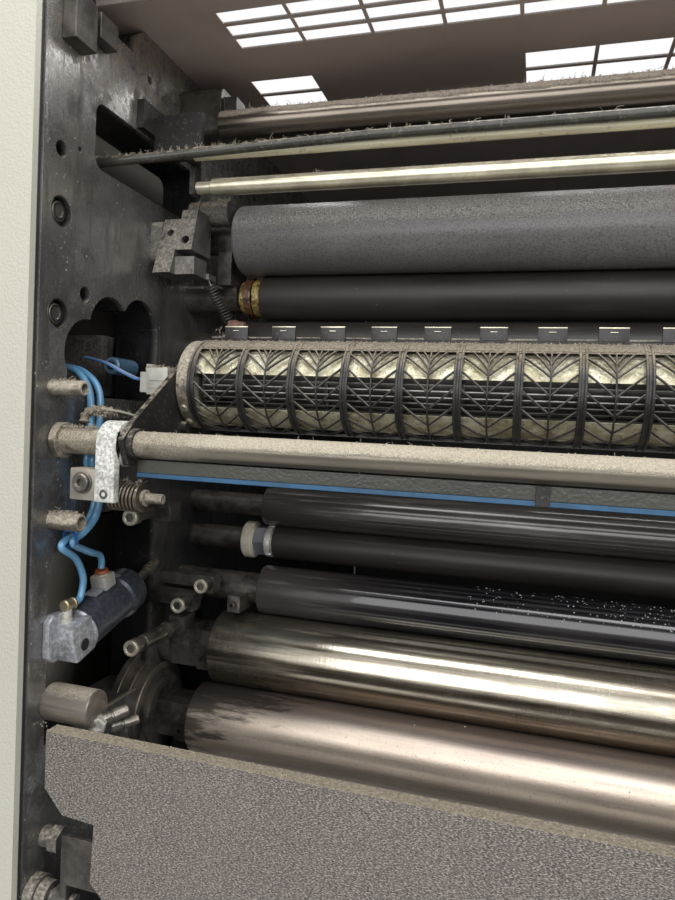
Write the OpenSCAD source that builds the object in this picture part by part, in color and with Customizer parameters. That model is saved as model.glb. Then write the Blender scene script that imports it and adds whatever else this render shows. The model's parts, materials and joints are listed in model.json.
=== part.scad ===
/* [Frame] */
// Clear width between the two side frames
inner_w = 1160; // [1000:10:1400]
// Thickness of each side frame
frame_t = 50; // [40:1:60]
// Depth of the unit from front edge to rear edge
frame_d = 1100; // [1060:10:1300]
// Height of the side frames' upper edge above the floor
frame_top = 2007; // [2000:1:2060]
// Height of the low step at the front of each frame
front_step = 30; // [20:1:50]
// Height of the base casting
base_h = 100; // [80:5:140]
// Height of each levelling foot
foot_h = 40; // [25:1:60]
// Radius of each levelling foot
foot_r = 60; // [45:1:80]

/* [Covers] */
// Outer width of each side housing
cover_w = 130; // [100:5:200]
// Wall of the side housings
cover_wall = 4; // [3:0.5:6]
// Sheet thickness of the lower cover and the rear covers
sheet_t = 3; // [2:0.5:5]
// Sheet thickness of the top cover
top_sheet_t = 2; // [1.5:0.5:4]
// Length of one vent slot in the top cover
slot_l = 67; // [40:0.5:68]
// Width of one vent slot in the front rows
slot_w = 17.5; // [10:0.5:19]
// Width of one vent slot in the rear rows
slot_w_rear = 31; // [20:1:33]
// Distance between neighbouring vent slots along the rollers
slot_pitch_x = 71; // [70:0.5:80]
// Bar left between two rows of vent slots
slot_bar = 5; // [3:0.5:8]

/* [Rollers] */
// Centre of the speckled rubber roller, from the front edge and down from the frames' upper edge
form_roller_pos = [234, 187];
// Radius of the speckled rubber roller
form_roller_r = 37.5; // [34:0.5:38]
// Radius of the rider roller below it
rider_roller_r = 25.3; // [24:0.1:26]
// Radius of the roller behind the blower
rear_roller_r = 31; // [28:0.5:32]
// Centre of the upper roller in the middle pair, from the front edge and down from the frames' upper edge
pair_upper_pos = [283, 487];
// Radius of the upper roller in the middle pair
pair_upper_r = 23; // [21:0.5:24]
// Radius of the lower roller in the middle pair
pair_lower_r = 19.8; // [18:0.1:20]
// Centre of the chrome drum, from the front edge and down from the frames' upper edge
chrome_drum_pos = [236, 646];
// Radius of the chrome drum
chrome_drum_r = 40.5; // [38:0.5:41]
// Radius of the glossy roller on top of the chrome drum
glossy_roller_r = 27.9; // [26:0.1:29]
// Radius of the brown inking roller below the chrome drum
brown_roller_r = 37; // [35:0.5:39]
// Gap left at each nip
nip_gap = 0.3; // [0.2:0.1:0.5]
// Radius of the roller journals
journal_r = 9; // [7:0.5:10]
// Running clearance of every journal in its bearing
run_gap = 0.05; // [0.02:0.01:0.1]

/* [Cylinders] */
// Radius of the plate cylinder and of the blanket cylinder
plate_r = 135; // [125:1:140]
// Radius of the impression cylinder, which takes two sheets a turn
impression_r = 270; // [250:1:275]
// Radius of the large cylinder journals
big_journal_r = 40; // [30:1:50]
// Space between a large cylinder's end and the side frame
cylinder_end_gap = 20; // [10:1:30]
// Width of the clamping channel along a plate or blanket cylinder
channel_w = 26; // [16:1:40]
// Depth of the clamping channel
channel_d = 30; // [20:1:40]

/* [Blower] */
// Centre of the blower tube, from the front edge and down from the frames' upper edge
blower_pos = [136, 353.5];
// Outer radius of the blower's guard
guard_r = 44; // [42:0.5:48]
// Radial thickness of the guard rings
ring_t = 2.4; // [1.5:0.1:3]
// Width of one guard ring
ring_w = 7; // [5:0.5:9]
// Number of guard segments along the blower
segments = 20; // [16:1:22]
// Outer radius of the bright inner shell
shell_r = 39; // [37:0.5:40]
// Wall of the bright inner shell
shell_t = 1.5; // [1:0.1:2]
// Radius of the blower rotor over its blades
rotor_r = 31; // [26:0.5:32]
// Number of blades on the blower rotor
blades = 24; // [18:1:30]
// Radius of the cross shaft that carries the blower
shaft_r = 11.3; // [10:0.1:12]
// Centre of the cross shaft, from the front edge and down from the frames' upper edge
shaft_pos = [31, 411];
// Thickness of the arms that carry the blower
arm_t = 5; // [4:0.5:6]

/* [Front guard] */
// Height of the hinged front guard above its lower edge
guard_h = 132; // [110:1:140]
// Height of the guard's lower edge above its hinge
guard_rise = 18; // [14:1:28]
// Depth of the guard's hinge below the frames' upper edge
hinge_drop = 805; // [803:1:807]
// Space between the guard's end and the side frame
guard_side_gap = 18; // [12:1:24]
// Thickness of the guard plate
guard_t = 3; // [2:0.5:4]

/* [Hidden] */
$fn = 64;
hw = inner_w / 2;
front = -frame_d / 2;
rear = frame_d / 2;
deck = foot_h + base_h;
outer = hw + frame_t;
side = outer + cover_w;
eps = 0.01;
bolt_fn = 6;

// A point given from the front edge and down from the upper edge becomes a point in the unit's own frame
function placed(p) = [front + p[0], frame_top - p[1]];
// The centre of a roller that runs on another one, in the direction of an angle
function beside(c, ra, rb, a) = [c[0] + (ra + rb + nip_gap) * cos(a), c[1] + (ra + rb + nip_gap) * sin(a)];

form_c = placed(form_roller_pos);
rider_c = beside(form_c, form_roller_r, rider_roller_r, -70.4);
rear_c = beside(rider_c, rider_roller_r, rear_roller_r, -83.2);
pair_upper_c = placed(pair_upper_pos);
pair_lower_c = beside(pair_upper_c, pair_upper_r, pair_lower_r, -83.5);
chrome_c = placed(chrome_drum_pos);
glossy_c = beside(chrome_c, chrome_drum_r, glossy_roller_r, 73);
brown_c = beside(chrome_c, chrome_drum_r, brown_roller_r, -113.2);
plate_c = beside(brown_c, brown_roller_r, plate_r, -65);
blanket_c = beside(plate_c, plate_r, plate_r, -82);
// The impression cylinder touches the blanket cylinder and clears the base casting
base_clear = 60;
impression_reach = plate_r + impression_r + nip_gap;
impression_drop = min(impression_reach * sin(67.5), blanket_c[1] - deck - impression_r - base_clear);
impression_c = [blanket_c[0] + sqrt(impression_reach ^ 2 - impression_drop ^ 2),
  blanket_c[1] - impression_drop];
blower_c = placed(blower_pos);
shaft_c = placed(shaft_pos);

// Distance of each roller's face from the side frame
form_end = 75;
rider_end = 96;
rear_end = 62;
pair_upper_end = 97.5;
pair_lower_end = 108.5;
glossy_end = 108;
chrome_end = 66.5;
brown_end = 57.5;
block_gap = 3;

module both_sides() {
  children();
  mirror([1, 0, 0]) children();
}
// A flat outline in depth and height, extruded across the unit
module profile_x(x0, x1) translate([x0, 0, 0]) rotate([90, 0, 90]) linear_extrude(x1 - x0) children();
// A round rod across the unit
module rod_x(r, x0, x1, c) translate([x0, c[0], c[1]]) rotate([0, 90, 0]) cylinder(r = r, h = x1 - x0);
// A round rod from front to rear
module rod_y(r, y0, y1, x, z) translate([x, y0, z]) rotate([-90, 0, 0]) cylinder(r = r, h = y1 - y0);
// A rod measured from the left frame's inner face
module left_rod(r, d0, d1, c) rod_x(r, -hw + d0, -hw + d1, c);
module left_profile(d0, d1) profile_x(-hw + d0, -hw + d1) children();
module left_box(d0, d1, y0, y1, z0, z1) translate([-hw + d0, y0, z0]) cube([d1 - d0, y1 - y0, z1 - z0]);
// A ring segment around an axis across the unit, its angles measured from the rear over the top
module arc_band(r_out, t, w, x, c, a0, a1) {
  translate([x - w / 2, c[0], c[1]]) rotate([90, 0, 90])
    rotate([0, 0, a0]) rotate_extrude(angle = a1 - a0) translate([r_out - t, 0]) square([t, w]);
}
// A socket head screw whose head looks towards the front
module screw_front(head_r, head_l, shank_r, y0, y1, x, z) {
  difference() {
    union() {
      rod_y(head_r, y0, y0 + head_l, x, z);
      rod_y(shank_r, y0 + head_l - eps, y1, x, z);
    }
    translate([x, y0 - 1, z]) rotate([-90, 0, 0]) cylinder(r = head_r * 0.55, h = 1 + head_l * 0.6,
      $fn = bolt_fn);
  }
}
// A rectangle with round corners
module rounded(y0, z0, y1, z1, r) {
  translate([y0 + r, z0]) square([y1 - y0 - 2 * r, z1 - z0]);
  translate([y0, z0 + r]) square([y1 - y0, z1 - z0 - 2 * r]);
  for (y = [y0 + r, y1 - r], z = [z0 + r, z1 - r]) translate([y, z]) circle(r);
}

// Side frames
step_z = frame_top - front_step;
window = [front + 67, frame_top - 161, front + 267, frame_top - 101];
screw_y = front + 24;
screw_z = [frame_top - 215, frame_top - 302];
counterbore_r = 13.5;
counterbore_d = 12;
tapped = [placed([22, 163]), placed([59, 279])];
tapped_r = 7;
recess_r = 60;
scallops = [[-70, 20.5], [-36, 47], [14, 53.5]];
scallop_r = 32.5;
module blower_window() translate(blower_c) {
  polygon([[-98, -18], [-98, 20], [-70, 46], [-36, 61], [46, 61], [46, -18]]);
  for (p = scallops) translate(p) circle(scallop_r);
}
module cylinder_recess() {
  y0 = front + 22;
  z0 = chrome_c[1] - 36;
  translate([y0, z0]) square([170, 140]);
  translate([y0 + recess_r, z0]) square([170 - recess_r, 140 + recess_r]);
  translate([y0 + recess_r, z0 + 140]) circle(recess_r);
}
module frame_plate() {
  difference() {
    left_profile(-frame_t, 0) difference() {
      polygon([[front, deck], [front, step_z], [front + 122, step_z], [front + 124, frame_top - 13],
               [front + 140, frame_top], [rear, frame_top], [rear, deck]]);
      rounded(window[0], window[1], window[2], window[3], 12);
      blower_window();
      cylinder_recess();
    }
    for (z = screw_z) {
      left_rod(counterbore_r, -counterbore_d, 1, [screw_y, z]);
      left_rod(8.5, -frame_t - 1, -counterbore_d + 1, [screw_y, z]);
    }
    for (p = tapped) left_rod(tapped_r, -30, 1, p);
    left_rod(2.5, -12, 1, placed([46, 154]));
    left_rod(4, -20, 1, placed([152, 42]));
    for (c = [plate_c, blanket_c, impression_c])
      left_rod(big_journal_r + run_gap, -frame_t - 1, 1, c);
  }
}
module frame_left() color([0.34, 0.32, 0.30]) frame_plate();
module frame_right() color([0.34, 0.32, 0.30]) mirror([1, 0, 0]) frame_plate();

module base_casting() color([0.30, 0.31, 0.32]) {
  translate([-outer, front, foot_h]) cube([2 * outer, frame_d, base_h]);
  for (x = [-1, 1], y = [-1, 1])
    translate([x * (outer - foot_r - 10), y * (rear - foot_r - 10), 0]) cylinder(r = foot_r, h = foot_h + eps);
}

// Side housings, open towards the frames
lip = 10;
housing_top = frame_top + 30;
module side_housing() {
  color([0.80, 0.79, 0.74]) difference() {
    translate([-side, front - lip, foot_h + 20]) cube([cover_w + frame_t - 2, frame_d + 2 * lip,
      housing_top - foot_h - 20]);
    translate([-side + cover_wall, front - lip + cover_wall, foot_h + 20 + cover_wall])
      cube([cover_w - cover_wall + eps, frame_d + 2 * (lip - cover_wall),
        housing_top - foot_h - 20 - 2 * cover_wall]);
    translate([-outer, front - 0.3, foot_h])
      cube([frame_t, frame_d + 0.6, housing_top - foot_h - cover_wall]);
  }
}
module side_housing_left() side_housing();
module side_housing_right() mirror([1, 0, 0]) side_housing();

// Top cover with its vent slots
row_a = front + 127;
row_b = front + 255;
columns_a = floor((inner_w - 150) / slot_pitch_x);
columns_b = 6;
edge_slot = 66;
edge_slot_l = 73;
module slot_row(x0, n, y, w, l) {
  for (i = [0:n - 1]) translate([x0 + i * slot_pitch_x, y, frame_top - 1]) cube([l, w, top_sheet_t + 2]);
}
function row_start(n) = -n * slot_pitch_x / 2 + (slot_pitch_x - slot_l) / 2;
module top_cover() color([0.26, 0.22, 0.19]) {
  difference() {
    translate([-outer + 3, front + 60, frame_top]) cube([2 * outer - 6, frame_d - 60, top_sheet_t]);
    for (j = [0:2]) slot_row(row_start(columns_a), columns_a, row_a + j * (slot_w + slot_bar), slot_w, slot_l);
    for (j = [0:2]) {
      y = row_b + j * (slot_w_rear + slot_bar);
      slot_row(row_start(columns_b), columns_b, y, slot_w_rear, slot_l);
      slot_row(-hw + edge_slot, 1, y, slot_w_rear, edge_slot_l);
      slot_row(hw - edge_slot - edge_slot_l, 1, y, slot_w_rear, edge_slot_l);
    }
  }
  translate([-hw + 1, front + 60, frame_top - 22]) cube([inner_w - 2, top_sheet_t, 22 + eps]);
}

// Lower front cover and rear covers
hinge_z = frame_top - hinge_drop;
lower_top = hinge_z - 37;
module pan(y0, y1, z0, z1) {
  translate([-hw + 1, y0, z0]) cube([inner_w - 2, sheet_t, z1 - z0]);
  for (z = [z0, z1 - sheet_t]) translate([-hw + 1, min(y0, y1), z]) cube([inner_w - 2, abs(y1 - y0), sheet_t]);
}
module lower_front_cover() color([0.46, 0.45, 0.43]) pan(front + 1, front + 26, deck, lower_top);
module rear_covers() color([0.80, 0.79, 0.74]) {
  split = deck + (frame_top - deck) * 0.5;
  pan(rear - 4, rear - 30, deck, split - 3);
  pan(rear - 4, rear - 30, split + 3, frame_top);
}

// Tie bar and rods above the rollers
tie_c = placed([221, 63]);
tie_r = 15;
upper_rod_c = placed([140, 126]);
lower_rod_c = placed([152, 155]);
upper_rod_r = 6.5;
lower_rod_r = 8.2;
rod_end_gap = 61;
lower_rod_end = 76;
tie_end = 50;
module top_tie_bar() color([0.30, 0.27, 0.24]) {
  rod_x(tie_r, -hw + tie_end, hw - tie_end, tie_c);
  translate([-hw + tie_end, tie_c[0], tie_c[1] - tie_r]) cube([inner_w - 2 * tie_end, 24, 2 * tie_r]);
}
module upper_guard_rod() color([0.70, 0.66, 0.55]) rod_x(upper_rod_r, -hw + rod_end_gap, hw - rod_end_gap,
  upper_rod_c);
module lower_guard_rod() color([0.85, 0.83, 0.76]) {
  rod_x(lower_rod_r, -hw + lower_rod_end, hw - lower_rod_end, lower_rod_c);
  both_sides() left_rod(6, rod_end_gap - 2, lower_rod_end + eps, lower_rod_c);
}
// Dark arms that reach the rods from the side frames
module rod_brackets() color([0.12, 0.12, 0.12]) both_sides() {
  left_box(0, 8, upper_rod_c[0] - 9, tie_c[0] - 40, window[3] + 2, window[3] + 30);
  left_box(8 - eps, rod_end_gap, upper_rod_c[0] + 12, upper_rod_c[0] + 18, upper_rod_c[1] + 1, window[3] + 22);
  left_box(rod_end_gap - 8, rod_end_gap, upper_rod_c[0] - 6, upper_rod_c[0] + 14, upper_rod_c[1] - 7,
    upper_rod_c[1] + 7);
  left_box(rod_end_gap - 8, rod_end_gap - 2, lower_rod_c[0] - 6, lower_rod_c[0] + 6, lower_rod_c[1] - 7,
    upper_rod_c[1] - 7 + eps);
}
// Blocks at the upper corners: tie bar ends, the front bracket and its clamp block
module corner_blocks() color([0.22, 0.21, 0.20]) both_sides() {
  left_profile(0, tie_end) rounded(tie_c[0] - 7, tie_c[1] - 10, tie_c[0] + 45, tie_c[1] + 41, 7);
  left_box(tie_end - eps, tie_end + 15, tie_c[0], tie_c[0] + 24, tie_c[1] + tie_r, tie_c[1] + 32);
  left_box(0, 14, front + 18, front + 47, step_z - 43, step_z - 2);
  left_box(0, 12, front + 54, front + 80, step_z - 24, step_z - 1);
}

// Cross shaft with its clamps, springs and arms
module cross_shaft() color([0.55, 0.50, 0.43]) {
  rod_x(shaft_r, -hw, hw, shaft_c);
  both_sides() left_rod(shaft_r + 4.5, 0, 7, shaft_c);
}
lever_d0 = 50;
lever_d1 = 69;
lug_d0 = 23;
lever_y = shaft_c[0] - shaft_r - 8;
lever_t = 8;
lever_low = shaft_c[1] - 49;
clamp_spring_c = [shaft_c[0] + 1.3, shaft_c[1] - 45];
clamp_spring_d0 = 56;
module shaft_clamps() color([0.78, 0.77, 0.74]) both_sides() difference() {
  union() {
    left_rod(shaft_r + 8, lever_d0, lever_d1, shaft_c);
    left_box(lever_d0, lever_d1, lever_y, lever_y + lever_t, lever_low, shaft_c[1]);
    left_box(lug_d0, lever_d0 + 2, lever_y + 4, lever_y + 26, lever_low, lever_low + 27);
    left_rod(8, lever_d0 + eps, clamp_spring_d0, clamp_spring_c);
  }
  left_rod(shaft_r + run_gap, lever_d0 - 1, lever_d1 + 1, shaft_c);
  rod_y(5, lever_y, lever_y + 12, -hw + 36, lever_low + 15);
}
// A ribbed sleeve of the spring's outer shape
module coil_sleeve(r, turns, pitch) rotate_extrude() polygon(concat(
  [[0, 0]],
  [for (i = [0:turns * 4]) [r - 1.2 + 1.2 * cos(90 * i), i * pitch / 4]],
  [[0, turns * pitch]]));
clamp_spring_l = 27;
upper_spring_from = [53, form_c[0] - 36, form_c[1] - 55.5];
upper_spring_to = [68, form_c[0] - 18, form_c[1] - 91];
module clamp_springs() color([0.45, 0.43, 0.40]) both_sides() {
  translate([-hw + clamp_spring_d0, clamp_spring_c[0], clamp_spring_c[1]]) rotate([0, 90, 0])
    coil_sleeve(12, 9, clamp_spring_l / 9);
  left_rod(14, clamp_spring_d0 + clamp_spring_l - eps, clamp_spring_d0 + clamp_spring_l + 3, clamp_spring_c);
  run = upper_spring_to - upper_spring_from;
  translate([-hw, 0, 0]) translate(upper_spring_from)
    rotate([0, acos(run[2] / norm(run)), atan2(run[1], run[0])]) coil_sleeve(6.5, 12, norm(run) / 12);
}
arm_d0 = 70;
arm_d1 = arm_d0 + arm_t;
module blower_arms() color([0.20, 0.19, 0.19]) both_sides() difference() {
  union() {
    left_profile(arm_d0, arm_d1) polygon([
      [shaft_c[0] - 18, shaft_c[1] + 4], [shaft_c[0], shaft_c[1] + 21], [blower_c[0] - 26, blower_c[1] + 20],
      [blower_c[0] + 10, blower_c[1] + 34], [blower_c[0] + 36, blower_c[1] - 8],
        [blower_c[0] + 16, blower_c[1] - 42],
      [shaft_c[0] + 66, shaft_c[1] - 12], [shaft_c[0] + 56, shaft_c[1] - 18],
        [shaft_c[0] + 12, shaft_c[1] - 16],
      [shaft_c[0] - 8, shaft_c[1] - 18]]);
    left_rod(shaft_r + 2, arm_d1 - eps, arm_d1 + 5, shaft_c);
    left_rod(5, arm_d1 - eps, arm_d1 + 6, [shaft_c[0] + 79, shaft_c[1] + 16]);
  }
  left_rod(shaft_r + run_gap, arm_d0 - 1, arm_d1 + 6, shaft_c);
}

// Blower
cap_d1 = arm_d1 + 16;
cap_r = guard_r - 1;
plug_d0 = 25;
plug_d1 = 56;
module blower_end_caps() color([0.60, 0.58, 0.52]) both_sides() difference() {
  union() {
    left_rod(cap_r, arm_d1, cap_d1 - 4, blower_c);
    left_rod(guard_r - 3, arm_d1, cap_d1, blower_c);
    for (p = [[10, -24], [-12, -24], [20, 10]])
      left_rod(6, arm_d0 - 5, arm_d0, [blower_c[0] + p[0], blower_c[1] + p[1]]);
    translate([-hw + arm_d1 + 6, blower_c[0], blower_c[1]]) rotate([214, 0, 0])
      translate([0, cap_r - 1, 0]) rotate([-90, 0, 0]) cylinder(r = 4, h = 4);
    left_box(plug_d1, arm_d0, blower_c[0] - 22, blower_c[0] - 16, blower_c[1] - 17, blower_c[1] + 2);
  }
  left_rod(4 + run_gap, arm_d1 - 1, cap_d1 + 1, blower_c);
}
window_low = 216;
window_high = 167;
module blower_shell() color([0.84, 0.82, 0.74]) {
  arc_band(shell_r, shell_t, inner_w - 2 * cap_d1, 0, blower_c, window_low, 360 + window_high);
}
seg_pitch = 2 * (hw - cap_d1) / segments;
rail_a = 84;
band_a = 128;
sill_a = 266;
tab_w = 24;
tab_h = 14;
module blower_guard() color([0.16, 0.15, 0.15]) {
  x0 = -segments * seg_pitch / 2;
  for (i = [0:segments]) arc_band(guard_r, ring_t, ring_w, x0 + i * seg_pitch, blower_c, rail_a, sill_a);
  for (i = [0:segments - 1]) {
    arc_band(guard_r - 0.2, ring_t - 0.4, 2.4, x0 + (i + 0.5) * seg_pitch, blower_c, rail_a, sill_a);
    translate([x0 + (i + 0.5) * seg_pitch - tab_w / 2, blower_c[0], blower_c[1] + guard_r - 3])
      cube([tab_w, 2.5, tab_h + 3]);
  }
  arc_band(guard_r - 0.4, ring_t - 0.7, inner_w - 2 * cap_d1, 0, blower_c, rail_a, band_a);
  translate([x0, blower_c[0] + 2.5 - eps, blower_c[1] + guard_r + 2]) cube([-2 * x0, 2, 2]);
  for (a = [rail_a, sill_a]) translate([0, blower_c[0], blower_c[1]]) rotate([a, 0, 0])
    translate([-hw + cap_d1, guard_r - ring_t - 1, -3]) cube([inner_w - 2 * cap_d1, ring_t + 1.2, 6]);
}
rotor_gap = 5;
disc_t = 4;
discs = 5;
rotor_half = hw - cap_d1 - rotor_gap;
module blower_rotor() color([0.18, 0.18, 0.18]) {
  rod_x(4, -hw + arm_d1 + 2, hw - arm_d1 - 2, blower_c);
  for (i = [0:discs - 1]) {
    x = -rotor_half + i * (2 * rotor_half - disc_t) / (discs - 1);
    rod_x(rotor_r, x, x + disc_t, blower_c);
  }
  for (i = [0:blades - 1]) translate([0, blower_c[0], blower_c[1]]) rotate([(i + 0.5) * 360 / blades, 0, 0])
    translate([-rotor_half + disc_t / 2, rotor_r - 9, -0.6]) cube([2 * rotor_half - disc_t, 8.5, 1.2]);
}
module blower_plugs() color([0.88, 0.87, 0.82]) both_sides() {
  left_box(plug_d0, plug_d1, blower_c[0] - 24, blower_c[0] + 2, blower_c[1] - 12, blower_c[1] + 14);
  left_box(plug_d0 + 6, plug_d1 - 6, blower_c[0] - 18, blower_c[0] - 4, blower_c[1] + 14 - eps,
    blower_c[1] + 18);
}

// Deflector below the blower with its blue seal and clips
deflector_y = shaft_c[0] + 5;
deflector_z = shaft_c[1] - 24;
module deflector() color([0.62, 0.56, 0.48]) {
  translate([-hw + arm_d1, deflector_y, deflector_z]) cube([inner_w - 2 * arm_d1, 2, 11]);
  translate([-hw + arm_d1, deflector_y, deflector_z]) cube([inner_w - 2 * arm_d1, 30, 2]);
}
module blue_seal_strip() color([0.35, 0.55, 0.78])
  translate([-hw + arm_d1, deflector_y - 1, deflector_z - 4]) cube([inner_w - 2 * arm_d1, 4, 4]);
module strip_clips() color([0.15, 0.15, 0.15]) both_sides()
  translate([-178, deflector_y - 3, deflector_z - 4]) cube([10, 2, 15]);

// Bearings and brackets of the three upper rollers
module bearing_x(r, d0, d1, c) difference() {
  left_rod(r, d0, d1, c);
  left_rod(journal_r + run_gap, d0 - 1, d1 + 1, c);
}
form_bearing_r = 14;
hanger_d0 = 50;
hanger_d1 = 66;
// A flat link that joins two bearings of the same radius
module link_plate(d0, d1, a, b, r) {
  n = [a[1] - b[1], b[0] - a[0]] * r / norm(b - a);
  left_profile(d0, d1) polygon([a + n, b + n, b - n, a - n]);
  for (c = [a, b]) left_rod(r, d0, d1, c);
}
module upper_bearings() color([0.36, 0.33, 0.30]) both_sides() {
  difference() {
    union() {
      left_rod(form_bearing_r, 0, form_end - block_gap, form_c);
      left_rod(16, 0, hanger_d1 - 1, rider_c);
      link_plate(hanger_d0, hanger_d1, form_c, rider_c, 15);
      left_box(hanger_d0, hanger_d1, form_c[0] - 12, form_c[0] + 4, form_c[1] - 50, form_c[1] - 14);
    }
    for (c = [form_c, rider_c]) left_rod(journal_r + run_gap, -1, form_end, c);
  }
  bearing_x(18, 0, rear_end - block_gap, rear_c);
}
bracket_low = form_c[1] - 52;
bracket_front = form_c[0] - 86;
boss_c = [form_c[0] - 28, form_c[1] + 22.7];
module upper_brackets() color([0.60, 0.56, 0.49]) both_sides() difference() {
  union() {
    left_profile(0, 13) rounded(form_c[0] - 70, bracket_low + 14, form_c[0] - 12, form_c[1] + 6, 8);
    left_profile(13 - eps, 33) polygon([[bracket_front, bracket_low], [bracket_front + 22, form_c[1] + 8],
      [boss_c[0], form_c[1] + 16], [form_c[0] - 8, form_c[1] + 12], [form_c[0] - 8, form_c[1] - 28],
      [form_c[0] - 40, bracket_low]]);
    left_profile(33 - eps, 51) polygon([[bracket_front + 10, bracket_low + 25],
      [bracket_front + 22, form_c[1] + 17],
      [boss_c[0] - 6, form_c[1] + 17], [boss_c[0] - 6, bracket_low + 25]]);
    left_box(30, 55, bracket_front + 10, bracket_front + 37, bracket_low, bracket_low + 18);
    left_box(46, 58, bracket_front + 37 - eps, bracket_front + 54, bracket_low, bracket_low + 6);
    left_rod(13.5, 26, form_end - block_gap, boss_c);
    left_rod(15, 36, 40, boss_c);
  }
  left_rod(form_bearing_r, -1, form_end, form_c);
  rod_y(4.5, bracket_front, bracket_front + 34, -hw + 42, bracket_low + 36);
  rod_y(4, bracket_front, bracket_front + 24, -hw + 23, bracket_low + 44);
}

// Roller blocks beside the lower rollers
module clamp_block(half, d0, d1, c, cap_a) {
  difference() {
    union() {
      left_profile(d0, d1) translate([c[0] - half, c[1] - half]) square(2 * half);
      translate([-hw, c[0], c[1]]) rotate([cap_a, 0, 0]) translate([d1 - 16, -half - 9, -13])
        cube([16, 12, 26]);
    }
    left_rod(journal_r + run_gap, d0 - 1, d1 + 1, c);
    translate([-hw, c[0], c[1]]) rotate([cap_a, 0, 0])
      translate([d1 - 8, -half - 10, 0]) rotate([-90, 0, 0]) cylinder(r = 4, h = 5, $fn = bolt_fn);
  }
}
pair_collar = 70;
glossy_lug = 80;
chrome_block = 21;
brown_block = 19;
module roller_blocks() {
  color([0.30, 0.28, 0.26]) {
    bearing_x(29, 0, 14, chrome_c);
    clamp_block(chrome_block, 14 - eps, chrome_end - block_gap, chrome_c, 20);
    bearing_x(46, 0, 8, brown_c);
    bearing_x(38, 8 - eps, 15, brown_c);
    clamp_block(brown_block, 15 - eps, brown_end - block_gap, brown_c, 20);
    bearing_x(17, 0, glossy_end - block_gap, glossy_c);
    bearing_x(14, 0, pair_collar - block_gap, pair_lower_c);
    bearing_x(13, 0, pair_upper_end - block_gap, pair_upper_c);
    for (s = screw_set) difference() {
      left_box(s[0] - 10, s[0] + 7, s[3], s[4], s[2] - 11, s[2] + 8);
      rod_y(5.3, s[3] - 1, s[4] + 1, -hw + s[0], s[2]);
    }
    for (s = screw_set) if (s[5]) left_box(0, s[0] - 10 + eps, s[3], s[4], s[2] - 5, s[2] + 8);
    left_box(30, 50, chrome_c[0] - 50, chrome_c[0] - chrome_block + 6, chrome_c[1] + chrome_block - 8,
      chrome_c[1] + 30);
    difference() {
      left_box(glossy_lug, glossy_lug + 15, glossy_c[0] - 40, glossy_c[0] - 6, glossy_c[1] - 20,
        glossy_c[1] - 2);
      left_rod(journal_r + run_gap, glossy_lug - 1, glossy_lug + 16, glossy_c);
    }
  }
}
// Adjusting screws: distance from the frame, front end, height, lug front, lug rear, and whether the lug is
// on the frame
screw_set = [
  [36, front + 86, pair_upper_c[1] + 3.8, front + 150, front + 172, true],
  [40, front + 89, chrome_c[1] + 37, front + 178, front + 204, false],
  [48.5, front + 160, chrome_c[1] + 62, front + 182, front + 200, true],
  [60, front + 188, chrome_c[1] + 77.5, front + 206, front + 224, true]];
module roller_blocks_left() roller_blocks();
module roller_blocks_right() mirror([1, 0, 0]) roller_blocks();
long_screw = screw_set[1];
module adjusting_screws() color([0.50, 0.47, 0.40]) both_sides() {
  for (s = screw_set) screw_front(8, 12, 5, s[1], s[4] + 4, -hw + s[0], s[2]);
  rod_y(7, long_screw[1] + 20, long_screw[1] + 58, -hw + long_screw[0], long_screw[2]);
  difference() {
    rod_y(4, glossy_c[0] - 46, glossy_c[0] - 40, -hw + glossy_lug + 7.5, glossy_c[1] - 11);
    rod_y(2.2, glossy_c[0] - 47, glossy_c[0] - 43, -hw + glossy_lug + 7.5, glossy_c[1] - 11);
  }
}

// Screws, studs and tubes on the side frames
module frame_screws() color([0.40, 0.38, 0.35]) both_sides() for (z = screw_z) difference() {
  union() {
    left_rod(9, -counterbore_d, -2, [screw_y, z]);
    left_rod(8.1, -frame_t + 6, -counterbore_d + eps, [screw_y, z]);
  }
  translate([-hw - 8, screw_y, z]) rotate([0, 90, 0]) cylinder(r = 5, h = 10, $fn = bolt_fn);
}
studs = [[19, 366, 6.5, 33], [26, 481, 8, 30]];
module frame_studs() color([0.58, 0.55, 0.50]) both_sides() for (s = studs) difference() {
  c = placed([s[0], s[1]]);
  left_rod(s[2], 0, s[3], c);
  translate([-hw + s[3] - 8, c[0], c[1]]) rotate([0, 90, 0]) cylinder(r = s[2] * 0.6, h = 10, $fn = bolt_fn);
}
tube_c = placed([31, 643]);
tube_l = 47;
module stub_tubes() color([0.62, 0.60, 0.55]) both_sides() {
  left_rod(16.5, 0, tube_l, tube_c);
  left_rod(9, tube_l - eps, tube_l + 4, tube_c);
  translate([-hw + tube_l + 4 - eps, tube_c[0], tube_c[1]]) rotate([0, 90, 0])
    cylinder(r = 9, h = 8, $fn = bolt_fn);
}

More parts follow.
